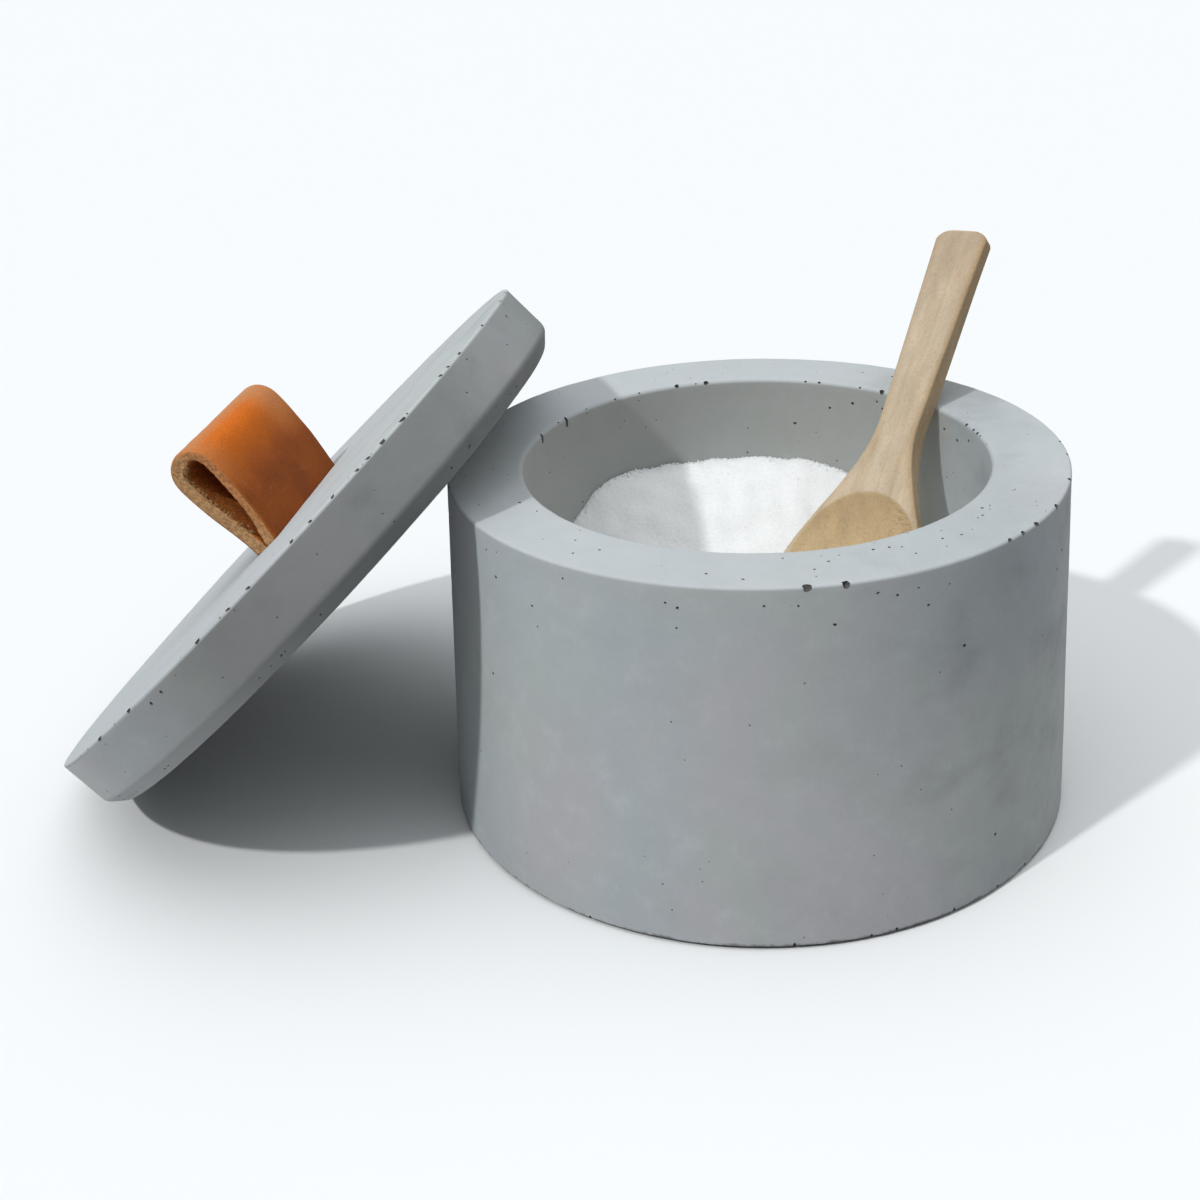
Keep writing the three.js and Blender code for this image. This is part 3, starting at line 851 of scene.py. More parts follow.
def bowl_outline():
    wall_foot = (FOOT_RADIUS, FOOT_CHAMFER)
    wall_top = (RIM_RADIUS, BOWL_HEIGHT - RIM_OUTER_ROUND)
    cavity_top = (CAVITY_RADIUS, BOWL_HEIGHT - RIM_INNER_ROUND)
    corner = (CAVITY_FLOOR_RADIUS - CAVITY_CORNER, FLOOR_THICKNESS + CAVITY_CORNER)
    face_outer = (RIM_RADIUS - RIM_OUTER_ROUND, BOWL_HEIGHT)
    face_inner = (CAVITY_RADIUS + RIM_INNER_ROUND, BOWL_HEIGHT)
    outline = line((FAN_RADIUS, 0), (FOOT_RADIUS - FOOT_CHAMFER, 0), 6 * MM)
    outline += line((FOOT_RADIUS - FOOT_CHAMFER, 0), wall_foot, 0.3 * MM)
    outline += line(wall_foot, wall_top, 1.1 * MM)
    outline += arc((face_outer[0], wall_top[1]), RIM_OUTER_ROUND, 0, 90, 15)
    outline += line(face_outer, face_inner, 1.1 * MM)
    outline += arc((face_inner[0], cavity_top[1]), RIM_INNER_ROUND, 90, 180, 12)
    outline += line(cavity_top, (CAVITY_FLOOR_RADIUS, corner[1]), 1.3 * MM)
    outline += arc(corner, CAVITY_CORNER, 0, -90, 10)
    outline += line((corner[0], FLOOR_THICKNESS), (FAN_RADIUS, FLOOR_THICKNESS), 6 * MM)
    return outline


# Pits that show in the photo, as angles round the bowl in degrees, some with a height or a radius
FRONT_EDGE_PITS = (-77.0, -70.8)
RIGHT_EDGE_PITS = (10, 3.5, -8.6, -21.3, -30, -34.5, -38.3)
INNER_EDGE_SLITS = (167.3, 154.5)
INNER_EDGE_PITS = (116.4, 108.1, 58.4)
INNER_EDGE_SPECKS = (76.8, 25.6, 21.5, 19, 17)
FRONT_WALL_PITS = (
    (-138.5, 67.4), (-135.5, 63.2), (-125.6, 61.1), (-118.4, 68.4), (-137.6, 42.9), (-99.6, 67.6),
    (-97.6, 66.9), (-97.8, 63.2), (-83.8, 67.8), (-78.4, 67.6), (-72.6, 63.7), (-65.5, 68.4),
    (-62.1, 67.4), (-58.3, 67.9), (-56.4, 64.3), (-49, 54.6), (-40.5, 12.9), (-20.1, 58), (-17.2, 60.5),
)
RIM_TOP_PITS = (
    (-147.7, 49), (-141.3, 47.9), (-123.5, 50.8), (-119.9, 55.2), (-116.5, 51.7), (-93.8, 54.7),
    (-87.2, 56.3), (-79.6, 48.3), (-74.5, 53.5), (-71.1, 50.9), (-61, 49.1), (-57.6, 49.5),
    (-55.4, 50.4), (-54.8, 53.8), (-46.6, 51.7), (-42.6, 52.7), (-32.3, 50.5), (-29, 48.8),
    (-27.1, 49.5), (61.6, 54.6), (68.9, 54.2),
)
INNER_WALL_PITS = (
    (35.2, 67.3), (29.1, 66.4), (23.2, 67.9), (57.7, 67.1), (59.6, 68.4), (66.9, 67), (73.5, 65.3),
    (83.4, 61.1),
)
FOOT_CHIPS = (-114.5, -79, -66, -61.5, -59.5, -50, -39.5, -31)

# Pits scattered over the rest of the bowl, and how many
OUTER_EDGE_SCATTER = 24
INNER_EDGE_SCATTER = 16
RIM_SCATTER = 26
BACK_WALL_SCATTER = 34
WALL_SCATTER = 16
INNER_WALL_SCATTER = 40
FOOT_SCATTER = 260


def marked(pits):
    """Pits that have an angle in degrees and a place in millimetres, in radians and metres."""
    return [(math.radians(degrees), place * MM) for degrees, place in pits]


def wall_radius(height):
    return between(FOOT_RADIUS, RIM_RADIUS, height / BOWL_HEIGHT)


def cavity_radius(height):
    low = FLOOR_THICKNESS + CAVITY_CORNER
    share = np.clip((height - low) / (BOWL_HEIGHT - RIM_INNER_ROUND - low), 0, 1)
    return between(CAVITY_FLOOR_RADIUS, CAVITY_RADIUS, share)


def bowl_pits():
    pits = Pits(BOWL_PITS_SEED)

    def outer_edge(angle, width):
        length = width * pits.draw(1, 1.5)
        pits.add(angle, RIM_RADIUS - 0.15 * MM, BOWL_HEIGHT - 0.2 * MM, 1, 0.8, width, length)

    def inner_edge(angle, width):
        length = width * pits.draw(1, 1.5)
        pits.add(angle, CAVITY_RADIUS + 0.3 * MM, BOWL_HEIGHT - 0.35 * MM, -1, 0.6, width, length)

    def wall(angle, height, width):
        pits.add(angle, wall_radius(height), height, 1, 0, width, width * pits.draw(1, 1.4))

    def inner_wall(angle, height, width):
        pits.add(angle, cavity_radius(height), height, -1, 0, width, width * 1.2)

    def rim(angle, radius, width):
        pits.add(angle, radius, BOWL_HEIGHT, 0, 1, width, width * pits.draw(1, 1.4))

    def foot(angle, width, length, tilt):
        pits.add(angle, FOOT_RADIUS - 0.2 * MM, 0.5 * MM, 1, -0.5, width, length, tilt)

    for angle in np.radians(FRONT_EDGE_PITS):
        outer_edge(angle, 1.5 * MM)
    for angle in np.radians(RIGHT_EDGE_PITS):
        outer_edge(angle, pits.size(0.7, 1.1))
    for angle in np.radians(INNER_EDGE_SLITS):
        pits.add(angle, CAVITY_RADIUS, BOWL_HEIGHT - 1.1 * MM, -1, 0.3, 0.9 * MM, 2.6 * MM, UPRIGHT)
    for angle in np.radians(INNER_EDGE_PITS):
        inner_edge(angle, pits.size(0.9, 1.2))
    for angle, height in marked(FRONT_WALL_PITS):
        wall(angle, height, pits.size(0.4, 0.65))
    for angle, radius in marked(RIM_TOP_PITS):
        rim(angle, radius, pits.size(0.35, 0.6))
    for angle, height in marked(INNER_WALL_PITS):
        inner_wall(angle, height, pits.size(0.45, 0.65))
    for angle in np.radians(INNER_EDGE_SPECKS):
        inner_edge(angle, pits.size(0.5, 0.8))
    for angle in np.radians(FOOT_CHIPS):
        foot(angle, 0.7 * MM, pits.size(1.4, 2.4), UPRIGHT)
    for _ in range(OUTER_EDGE_SCATTER):
        outer_edge(pits.behind(), pits.size(0.25, 0.7))
    for _ in range(INNER_EDGE_SCATTER):
        inner_edge(pits.anywhere(), pits.size(0.3, 0.5))
    for _ in range(RIM_SCATTER):
        rim(pits.anywhere(), pits.size(47.5, 58.5), pits.size(0.2, 0.34))
    for _ in range(BACK_WALL_SCATTER):
        height = BOWL_HEIGHT - pits.chance.exponential(6) * MM - 1.2 * MM
        if height > 3 * MM:
            wall(pits.behind(), height, pits.size(0.25, 0.6))
    for _ in range(WALL_SCATTER):
        wall(pits.anywhere(), pits.size(3, 68), pits.size(0.2, 0.3))
    for _ in range(INNER_WALL_SCATTER):
        inner_wall(pits.anywhere(), pits.size(34, 68.5), pits.size(0.2, 0.42))
    for _ in range(FOOT_SCATTER):
        width = pits.size(0.3, 0.6)
        foot(pits.anywhere(), width, width * pits.draw(1.2, 3), 0)
    return pits


bowl_rings, bowl_facing = turned(bowl_outline(), BOWL_SIDES)
bowl_skin = uneven(bowl_rings, bowl_facing, BOWL_SEED)
bowl = piece("concrete_bowl", *skin(bowl_skin), [bowl_concrete])
carve(bowl, bowl_pits().cutter("bowl_pits"))
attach(bowl, "bowl")
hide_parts("bowl")


def lid_outline():
    """The lid's cut: flat underside, a chamfer with softened arrises, the rim and the top face."""
    soft = LID_CHAMFER_ROUND
    taken = soft * math.tan(math.radians(22.5))
    slant = soft * math.sin(math.radians(45))
    under_end = (LID_RADIUS - LID_CHAMFER - taken, soft)
    rim_start = (LID_RADIUS - soft, LID_CHAMFER + taken)
    slant_start = (under_end[0] + slant, soft - slant)
    slant_end = (rim_start[0] + slant, rim_start[1] - slant)
    round_start = (LID_RADIUS, LID_THICKNESS - LID_EDGE_ROUND)
    top_start = (LID_RADIUS - LID_EDGE_ROUND, LID_THICKNESS)
    outline = line((FAN_RADIUS, 0), (under_end[0], 0), 5 * MM)
    outline += arc(under_end, soft, -90, -45, 8)
    outline += line(slant_start, slant_end, 0.6 * MM)
    outline += arc(rim_start, soft, -45, 0, 8)
    outline += line((LID_RADIUS, rim_start[1]), round_start, 0.9 * MM)
    outline += arc((top_start[0], round_start[1]), LID_EDGE_ROUND, 0, 90, 15)
    outline += line(top_start, (FAN_RADIUS, LID_THICKNESS), 2 * MM)
    return outline


# The lid's pits, as angles from up its slope in degrees: on its top edge, or so many mm below it
LID_EDGE_PITS = (
    175, -172, -154, -111, -100.5, -82, -75, -70.5, -61, -57, -52, -46.5, -44, -40.5, -35.5, -24.5,
    -22, -18, -8, 5,
)
LID_WIDE_PITS = (-111, -100.5, -82, -40.5, -35.5, 175)
LID_RIM_PITS = (
    (-96, 2.1), (-93, 1.9), (166.5, 7.4), (171, 7.4), (1, 2.9), (-54, 11.6), (-4, 11.8), (-124, 11),
)
LID_BACK_EDGE = range(14, 172, 8)

# Pits scattered over the rest of the lid, and how many
LID_EDGE_SCATTER = 30
LID_RIM_SCATTER = 16
LID_CHAMFER_SCATTER = 40
LID_TOP_SCATTER = 70
LID_UNDERSIDE_SCATTER = 80


def lid_pits():
    pits = Pits(LID_PITS_SEED)

    def top_edge(angle, width, length):
        pits.add(angle, LID_RADIUS - 0.15 * MM, LID_THICKNESS - 0.15 * MM, 1, 0.9, width, length)

    for degrees in LID_EDGE_PITS:
        width = (0.85 if degrees in LID_WIDE_PITS else 0.55) * MM
        top_edge(math.radians(degrees), width, width * pits.draw(1.5, 2.2))
    for angle, below in marked(LID_RIM_PITS):
        pits.add(angle, LID_RADIUS, LID_THICKNESS - below, 1, 0, 0.55 * MM, 0.8 * MM, UPRIGHT)
    for angle in np.radians(LID_BACK_EDGE):
        width = pits.size(0.45, 0.8)
        top_edge(angle + math.radians(pits.draw(-3, 3)), width, width * pits.draw(1.4, 2.2))
    for _ in range(LID_EDGE_SCATTER):
        width = pits.size(0.22, 0.42)
        top_edge(pits.anywhere(), width, width * 1.3)
    for _ in range(LID_RIM_SCATTER):
        width = pits.size(0.2, 0.4)
        pits.add(pits.anywhere(), LID_RADIUS, pits.size(4, 13), 1, 0, width, width * 1.3)
    for _ in range(LID_CHAMFER_SCATTER):
        width = pits.size(0.3, 0.6)
        middle = LID_CHAMFER / 2
        pits.add(pits.anywhere(), LID_RADIUS - middle, middle, 1, -1, width, width * pits.draw(1, 2))
    for _ in range(LID_TOP_SCATTER):
        width = pits.size(0.2, 0.5)
        radius = LID_RADIUS * math.sqrt(pits.draw(0.2, 0.92))
        pits.add(pits.anywhere(), radius, LID_THICKNESS, 0, 1, width, width * 1.2)
    for _ in range(LID_UNDERSIDE_SCATTER):
        width = pits.size(0.25, 0.7)
        radius = LID_RADIUS * math.sqrt(pits.draw(0, 0.86))
        pits.add(pits.anywhere(), radius, 0.0, 0, -1, width, width * 1.2)
    return pits


def slot_cutter():
    """The blind slot that holds the strap's two ends."""
    size = 2 * np.array((STRAP_THICKNESS + CLEARANCE, STRAP_WIDTH / 2 + CLEARANCE, SLOT_DEPTH))
    middle = np.array((SLOT_UP_SLOPE, SLOT_ASIDE, LID_THICKNESS))
    return piece("pull_slot", BLOCK_CORNERS * size + middle, BLOCK_SIDES.tolist(), [concrete_pit])


lid_rings, lid_facing = turned(lid_outline(), LID_SIDES)
lid_skin = uneven(lid_rings, lid_facing, LID_SEED)
lid = piece("concrete_lid", *skin(lid_skin), [lid_concrete])
carve(lid, slot_cutter())
carve(lid, lid_pits().cutter("lid_pits"))
lid.data.transform(lid_stand)
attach(lid, "lid")
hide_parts("lid")


# Leather pull, whose cut has points of three kinds, each with a finish of its own
GRAIN = 0
RAW = 1
FLESH = 2


def strap_leaf(crown, bend, side, base, bow, lift):
    """Points up one leaf: straight out of the slot, then on to where it touches the bend, bowed outward."""
    base = np.array(base)
    reach = crown - base
    far = np.linalg.norm(reach)
    heading = math.atan2(reach[1], reach[0]) - side * math.asin(bend / far)
    touch = base + math.sqrt(far**2 - bend**2) * np.array((math.cos(heading), math.sin(heading)))
    tail = np.array((base[0], CLEARANCE - SLOT_DEPTH))
    outward = side * np.array((math.sin(heading), -math.cos(heading)))
    straight = line(base, touch, STRAP_STEP)
    shares = np.linspace(0, 1, len(straight), endpoint=False)
    bowed = [p + bow * math.sin(math.pi * s**lift) * outward for p, s in zip(straight, shares)]
    return line(tail, base, STRAP_STEP) + bowed, math.degrees(heading)


def strap_line():
    """Points along the middle of the strap, from one end in the slot over the crown to the other."""
    half = STRAP_THICKNESS / 2
    bend = LOOP_GAP / 2 + half
    foot = half + LEAF_GAP
    crown = np.array((CROWN_OFFSET, LOOP_HEIGHT - CROWN_SINK - bend - half))
    right, first = strap_leaf(crown, bend, 1, (foot, RIGHT_LEAVES_SLOT), RIGHT_BOW, RIGHT_BOW_LIFT)
    left, last = strap_leaf(crown, bend, -1, (-foot, LEFT_LEAVES_SLOT), LEFT_BOW, LEFT_BOW_LIFT)
    over = arc(crown, bend, first - 90, last + 90, math.degrees(STRAP_STEP / bend))
    points = np.array(right + over + left[::-1])
    for _ in range(STRAP_EASING):
        points[1:-1] = (points[:-2] + 2 * points[1:-1] + points[2:]) / 4
    return points


def strap_section():
    """The strap's cut, as (across, outward, kind), with rounded corners on its grain side."""
    side = STRAP_WIDTH / 2
    half = STRAP_THICKNESS / 2 - STRAP_SHY
    across = np.linspace(-1, 1, STRAP_COLUMNS)
    grain = [(share * (side - GRAIN_ROUND), half, GRAIN) for share in across]
    flesh = [(share * (side - FLESH_ROUND), -half, FLESH) for share in across[::-1]]
    right = []
    for turn in np.radians((70, 45, 22)):
        inset = GRAIN_ROUND * (1 - math.cos(turn))
        drop = GRAIN_ROUND * (1 - math.sin(turn))
        right.append((side - inset, half - drop, GRAIN))
    for share in np.linspace(0, 1, SIDE_COLUMNS):
        right.append((side, between(half - GRAIN_ROUND, FLESH_ROUND - half, share), RAW))
    left = [(-x, out, kind) for x, out, kind in right[::-1]]
    return grain + right + flesh + left


def strap_rings():
    """The strap's cut all along its middle, with its kinds, and what its loose fibres grow from."""
    middle = strap_line()
    along = unit(np.gradient(middle, axis=0))
    outward = np.stack([along[:, 1], -along[:, 0]], axis=1)
    across, out, kind = np.array(strap_section()).T
    thinner = RIGHT_THINNER * eased(middle[:, 0], RIGHT_LEAF_FROM, RIGHT_LEAF_FROM + 2 * MM)
    out = out + thinner[:, None] * np.clip(-out / STRAP_THICKNESS + 0.5, 0, 1)
    rings = np.empty(out.shape + (3,))
    rings[..., 0] = middle[:, :1] + outward[:, :1] * out
    rings[..., 1] = across
    rings[..., 2] = middle[:, 1:] + outward[:, 1:] * out
    ragged = 0.10 * MM * np.clip(1 + ripples(rings, 0.9 * MM, RAGGED_SEED), 0, None)
    nap = 0.09 * MM * np.clip(ripples(rings, 1.1 * MM, NAP_SEED), -1, 1) - 0.05 * MM
    soft = 0.03 * MM * (ripples(rings, 7 * MM, GRAIN_SEED) - 1)
    raised = np.where(kind == FLESH, -nap, np.where(kind == GRAIN, soft, 0))
    rings[..., 0] += outward[:, :1] * raised
    rings[..., 1] -= np.sign(across) * np.where(kind == RAW, ragged, 0)
    rings[..., 2] += outward[:, 1:] * raised
    return rings, kind.astype(int), (middle, outward, thinner)


def strap_fibres(middle, outward, thinner):
    """Loose fibres that stand out of the raw inside of the left leaf and the crown near the cut sides."""
    chance = np.random.default_rng(FIBRE_SEED)
    points = []
    faces = []
    rough = np.flatnonzero((middle[:, 1] > FIBRES_ABOVE) & (middle[:, 0] < RIGHT_LEAF_FROM))
    for index in chance.choice(rough, FIBRE_COUNT):
        side = chance.choice((-1, 1))
        depth = chance.uniform(0, 0.9) * MM
        root = np.array((middle[index, 0], side * (STRAP_WIDTH / 2 - 0.25 * MM - depth), middle[index, 1]))
        inward = -np.array((outward[index, 0], 0, outward[index, 1]))
        root += inward * (STRAP_THICKNESS / 2 - thinner[index] - 0.1 * MM)
        lean = chance.normal(size=3) * 0.5
        way = unit(inward + lean + np.array((0, side * 0.35, 0)))
        length = chance.uniform(*FIBRE_LENGTHS)
        thick = chance.uniform(*FIBRE_RADII)
        aside = unit(np.cross(way, (0.3, 0.8, 0.5)))
        third = np.cross(way, aside)
        faces += (FIBRE_SIDES + len(points)).tolist()
        for turn in FIBRE_CORNERS:
            points.append(root + thick * (math.cos(turn) * aside + math.sin(turn) * third))
        points.append(root + way * length)
    return np.array(points), faces


pull_rings, pull_kind, fibre_roots = strap_rings()
pull = piece("leather_pull", *skin(pull_rings), [strap_grain, strap_side, strap_flesh], pull_stand)
next_kind = np.roll(pull_kind, -1)
row_kinds = np.where((pull_kind == RAW) | (next_kind == RAW), RAW, np.maximum(pull_kind, next_kind))
end_kinds = np.full(2 * len(pull_kind), RAW)
face_kinds = np.concatenate([np.tile(row_kinds, len(pull_rings) - 1), end_kinds])
pull.data.polygons.foreach_set("material_index", face_kinds.astype(np.int32))
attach(pull, "lid")
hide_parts("lid_pull")

fibres = piece("leather_fibres", *strap_fibres(*fibre_roots), [strap_side], pull_stand)
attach(fibres, "lid")


# Wooden spoon
def spoon_bulge(along):
    deepest = HOLLOW_RIM + HOLLOW_LENGTH / 2
    reach = np.where(along < deepest, deepest, NECK_FROM_TIP - deepest)
    return SPOON_BULGE * np.clip(1 - ((along - deepest) / reach) ** 2, 0, None)


def spoon_hollow(across, along):
    """How far the carved hollow goes down, with a narrow soft edge."""
    depth = HOLLOW_DEPTH * (1 - out_of_hollow(across, along))
    return (depth + np.sqrt(depth**2 + HOLLOW_EDGE**2)) / 2


def spoon_ring(along):
    """One cut through the spoon: its face, right side, back and left side, with rounded arrises.

    Each point has its place and how close it is to an arris, from 0 to 1."""
    from_end = min(along, SPOON_LENGTH - along)
    short = max(0.0, SPOON_SOFTENING - from_end)
    inset = SPOON_SOFTENING - math.sqrt(SPOON_SOFTENING**2 - short**2)
    half = max(float(spoon_half_width(np.array(along))) - inset, SPOON_LEAST_HALF)
    thick = float(spoon_thickness(np.array(along)))
    bulge = float(spoon_bulge(np.array(along)))
    corner = min(SPOON_SOFTENING, half * SOFTENED_WIDTH, (thick - 2 * inset) * SOFTENED_THICKNESS)
    top = -inset
    bottom = -thick + inset
    flat = half - corner
    across_face = flat * np.linspace(-1, 1, FACE_COLUMNS)
    across_back = flat * np.linspace(1, -1, BACK_COLUMNS)
    hollow = spoon_hollow(across_face, along)
    turns = np.radians((67.5, 45, 22.5, 0))

    def nearness(x):
        return math.exp((abs(x) - flat) / ARRIS_WIDTH)

    face = [(x, top - h, nearness(x)) for x, h in zip(across_face, hollow)]
    back = [(x, bottom - bulge * (1 - (x / flat) ** 2), nearness(x)) for x in across_back]
    right = [(flat + corner * math.cos(t), top - hollow[-1] - corner * (1 - math.sin(t)), 1) for t in turns]
    right += [(half, between(top - corner, bottom + corner, share), 1) for share in (0.33, 0.67)]
    right += [(flat + corner * math.cos(t), bottom + corner * (1 - math.sin(t)), 1) for t in turns[::-1]]
    left = [(-x, z, near) for x, z, near in right[::-1]]
    return np.array([(x, along, z, near) for x, z, near in face + right + back + left])


def spoon_stations():
    tip = WIDEST_FROM_TIP * (1 - np.cos(np.linspace(0.02, math.pi / 2, TIP_CUTS)))
    body = np.arange(WIDEST_FROM_TIP + SPOON_STEP, SPOON_LENGTH - HANDLE_CORNER, SPOON_STEP)
    end = SPOON_LENGTH - HANDLE_CORNER * (1 - np.sin(np.linspace(0, math.pi / 2 - 0.03, HANDLE_END_CUTS)))
    return np.concatenate([tip, body, end])


spoon_cuts = np.array([spoon_ring(along) for along in spoon_stations()])
spoon = piece("wooden_spoon", *skin(spoon_cuts[..., :3]), [wood], spoon_stand)
arris = spoon.data.attributes.new("arris", "FLOAT", "POINT")
arris.data.foreach_set("value", np.append(spoon_cuts[..., 3], (1, 1)).astype(np.float32))
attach(spoon, "spoon")
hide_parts("spoon")


# Sugar
def sugar_top(points):
    """The bank's height with a low lump at the back left and its soft unevenness."""
    x = points[..., 0]
    y = points[..., 1]
    along = x * math.cos(SLOPE_HEADING) + y * math.sin(SLOPE_HEADING)
    bank = SUGAR_TOP - SUGAR_FALL * eased(along, SLOPE_START, SLOPE_END)
    from_lump = (x - LUMP_SPOT[0]) ** 2 + (y - LUMP_SPOT[1]) ** 2
    lump = LUMP_HEIGHT * np.exp(-from_lump / LUMP_REACH**2)
    flat = np.stack([x, y, 0 * x], axis=-1)
    return bank + lump + 0.2 * MM * ripples(flat, 7 * MM, BANK_SEED)


def spoon_tree():
    points = [v.co for v in spoon.data.vertices]
    return BVHTree.FromPolygons(points, [list(p.vertices) for p in spoon.data.polygons])


def under_spoon(tree, x, y, margin):
    """The lowest height of the spoon over a spot and close round it, or None where it isn't above."""
    lowest = None
    for step_x, step_y in ((0, 0), (margin, 0), (-margin, 0), (0, margin), (0, -margin)):
        spot, _, _, _ = tree.ray_cast(Vector((x + step_x, y + step_y, 0)), Vector((0, 0, 1)))
        if spot is not None and (lowest is None or spot.z < lowest):
            lowest = spot.z
    return lowest


def sugar_surface(tree):
    """Rings from the wall to the middle: the bank with its loose grains, and the spoon's pocket."""
    radii = SUGAR_EDGE * np.linspace(1, SUGAR_INNERMOST, SUGAR_RINGS) ** SUGAR_CROWDING
    angles = all_round(SUGAR_SIDES)
    rings = np.zeros((SUGAR_RINGS, SUGAR_SIDES, 3))
    rings[..., 0] = radii[:, None] * np.cos(angles)
    rings[..., 1] = radii[:, None] * np.sin(angles)
    rings[..., 2] = sugar_top(rings)
    rings[..., 2] += 0.03 * MM * ripples(rings, 1.2 * MM, BANK_FINE_SEED)
    grainy = SLOPE_GRAIN + EDGE_GRAIN * eased(radii, SUGAR_EDGE - 3 * MM, SUGAR_EDGE - 0.5 * MM)
    chance = np.random.default_rng(SUGAR_EDGE_SEED)
    bumps = np.clip(chance.normal(size=rings.shape[:2]), -GRAIN_LIMIT, GRAIN_LIMIT)
    rings[..., 2] += grainy[:, None] * bumps
    for ring in rings:
        for point in ring:
            lowest = under_spoon(tree, point[0], point[1], 0.5 * MM)
            if lowest is not None:
                point[2] = min(point[2], lowest - SPOON_POCKET)
    return rings


def sugar_body(surface_rings):
    """Rings from the cavity's floor up its wall and over the surface."""
    foot_radius = CAVITY_FLOOR_RADIUS - CAVITY_CORNER
    reach = CAVITY_CORNER - CLEARANCE
    outline = [(FAN_RADIUS, FLOOR_THICKNESS + CLEARANCE), (foot_radius, FLOOR_THICKNESS + CLEARANCE)]
    outline += arc((foot_radius, FLOOR_THICKNESS + CAVITY_CORNER), reach, -60, 30, 30)
    rows = []
    for radius, height in outline:
        row = surface_rings[0] * (radius / SUGAR_EDGE)
        row[:, 2] = height
        rows.append(row)
    return np.concatenate([np.array(rows), surface_rings])


def crystals(tree):
    """Loose crystals, small blocks turned every way: many along the wall, and fewer on the slope."""
    chance = np.random.default_rng(CRYSTAL_SEED)
    points = []
    faces = []
    while len(points) < EDGE_CRYSTALS + LOOSE_CRYSTALS:
        loose = len(points) >= EDGE_CRYSTALS
        radius = SUGAR_EDGE - 0.2 * MM - chance.exponential(0.6) * MM
        if loose:
            radius = (SUGAR_EDGE - 0.4 * MM) * math.sqrt(chance.uniform())
        angle = chance.uniform(0, 2 * math.pi)
        spot = about_axis(angle, radius, 0.0)
        if under_spoon(tree, spot[0], spot[1], 0.9 * MM) is not None:
            continue
        sink = chance.uniform(*(LOOSE_SINK if loose else EDGE_SINK))
        spot[2] = sugar_top(spot) - sink
        longest = chance.uniform(*CRYSTAL_SIZES)
        size = longest * np.array((1, chance.uniform(0.7, 1), chance.uniform(0.6, 1)))
        tip = Euler(chance.normal(size=3) * (LOOSE_TIPPING if loose else EDGE_TIPPING)).to_matrix()
        spin = np.array(tip @ Matrix.Rotation(chance.uniform(0, math.pi), 3, "Z"))
        faces += (BLOCK_SIDES + len(points) * len(BLOCK_CORNERS)).tolist()
        points.append((BLOCK_CORNERS * size) @ spin.T + spot)
    return np.vstack(points), faces


spoon_in_place = spoon_tree()
sugar = piece("sugar_heap", *skin(sugar_body(sugar_surface(spoon_in_place))), [sugar_white])
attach(sugar, "bowl")
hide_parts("sugar")

grains = piece("sugar_crystals", *crystals(spoon_in_place), [sugar_crystal])
grains.data.shade_flat()
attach(grains, "bowl")


# Floor, light and camera
FLOOR_HALF = 2.5
FLOOR_DROP = 0.05 * MM
FLOOR_SEEN = (0.91, 0.928, 0.93, 1)
FLOOR_CAST = (0.30, 0.30, 0.30, 1)
SUN_STRENGTH = 1.41
SUN_ANGLE = math.radians(2.5)
SUN_WAY = (0.4606, 0.5116, -0.7254)
SKY_OVERHEAD = 2.1
SKY_SIDE = 0.24
SKY_TINT = (0.96, 0.985, 1.01, 1)
CAMERA_SPOT = Vector((26.51, -315.96, 195.06)) * MM
CAMERA_HEADING = math.radians(10.49)
CAMERA_PITCH = math.radians(26.0)
CAMERA_ROLL = math.radians(2.77)
CAMERA_LENS = 51.99
CAMERA_SENSOR = 36
CAMERA_NEAREST = 10 * MM


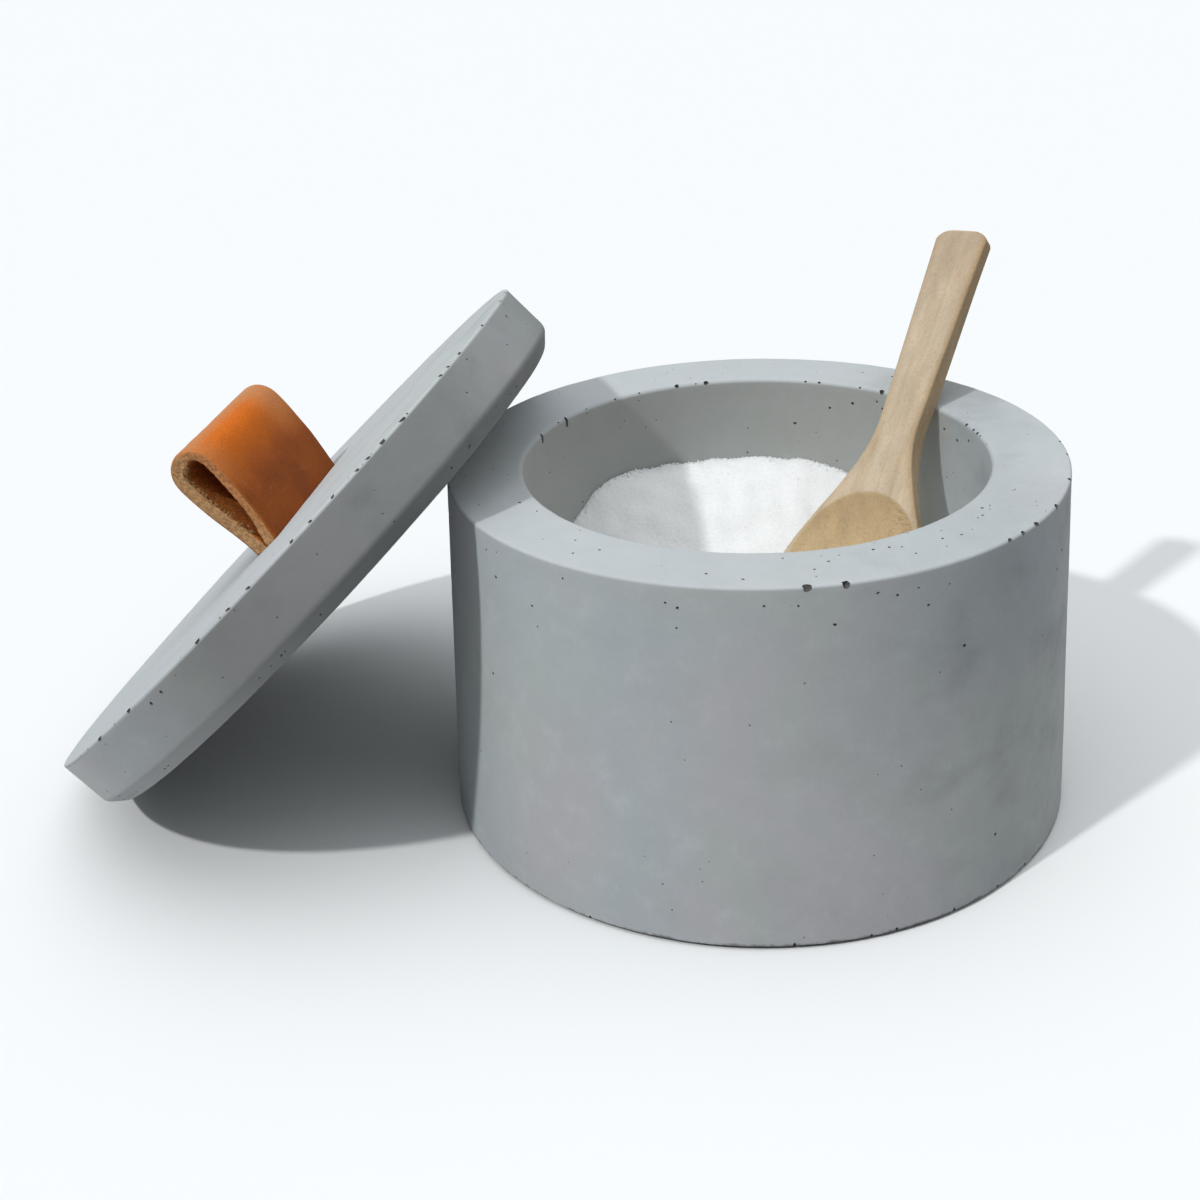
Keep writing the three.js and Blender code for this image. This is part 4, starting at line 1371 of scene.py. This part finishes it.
def seen_directly(finish):
    """1 for the camera, mirrors and glass, and 0 for the light that bounces."""
    kinds = ("Camera", "Glossy", "Transmission")
    camera, glossy, through = (finish.node("ShaderNodeLightPath", output=f"Is {kind} Ray") for kind in kinds)
    return finish.maths("MINIMUM", camera + glossy + through, 1.0)


def floor_paper(finish):
    return {
        "Base Color": finish.mixed(seen_directly(finish), FLOOR_CAST, FLOOR_SEEN),
        "Roughness": 0.9,
    }


floor_corners = np.array([(-1, -1, 0), (1, -1, 0), (1, 1, 0), (-1, 1, 0)]) * FLOOR_HALF
floor_corners[:, 2] = -FLOOR_DROP
floor = piece("floor", floor_corners, [[0, 1, 2, 3]], [surface("floor_paper", floor_paper)])

# A white studio whose light comes mostly from straight above, and a little from the right
world = bpy.data.worlds.new("studio")
world.use_nodes = True
bpy.context.scene.world = world
sky = Finish(world.node_tree)
sky_direction = sky.node("ShaderNodeTexCoord", output="Generated")
sky_up = sky.maths("MAXIMUM", sky_direction.axis("Z"), 0.0)
sky_square = sky_up * sky_up
sky_right = sky.maths("MAXIMUM", sky_direction.axis("X"), 0.0)
sky_cast = sky_square * sky_square * SKY_OVERHEAD + sky_right * sky_right * SKY_SIDE
sky_seen = seen_directly(sky)
background = world.node_tree.nodes["Background"]
sky.feed(background.inputs["Strength"], sky_seen + (1 - sky_seen) * sky_cast)
sky.feed(background.inputs["Color"], SKY_TINT)

sun_data = bpy.data.lights.new("window_light", "SUN")
sun_data.energy = SUN_STRENGTH
sun_data.angle = SUN_ANGLE
sun = in_scene("window_light", sun_data)
sun.rotation_euler = Vector(SUN_WAY).to_track_quat("-Z", "Y").to_euler()

camera_data = bpy.data.cameras.new("camera")
camera_data.sensor_width = CAMERA_SENSOR
camera_data.lens = CAMERA_LENS
camera_data.clip_start = CAMERA_NEAREST
camera = in_scene("camera", camera_data)
camera_turn = Matrix.Rotation(CAMERA_HEADING, 4, "Z") @ Matrix.Rotation(math.pi / 2 - CAMERA_PITCH, 4, "X")
camera.matrix_world = Matrix.Translation(CAMERA_SPOT) @ camera_turn @ Matrix.Rotation(-CAMERA_ROLL, 4, "Z")
bpy.context.scene.camera = camera
bpy.context.scene.view_settings.view_transform = "Standard"
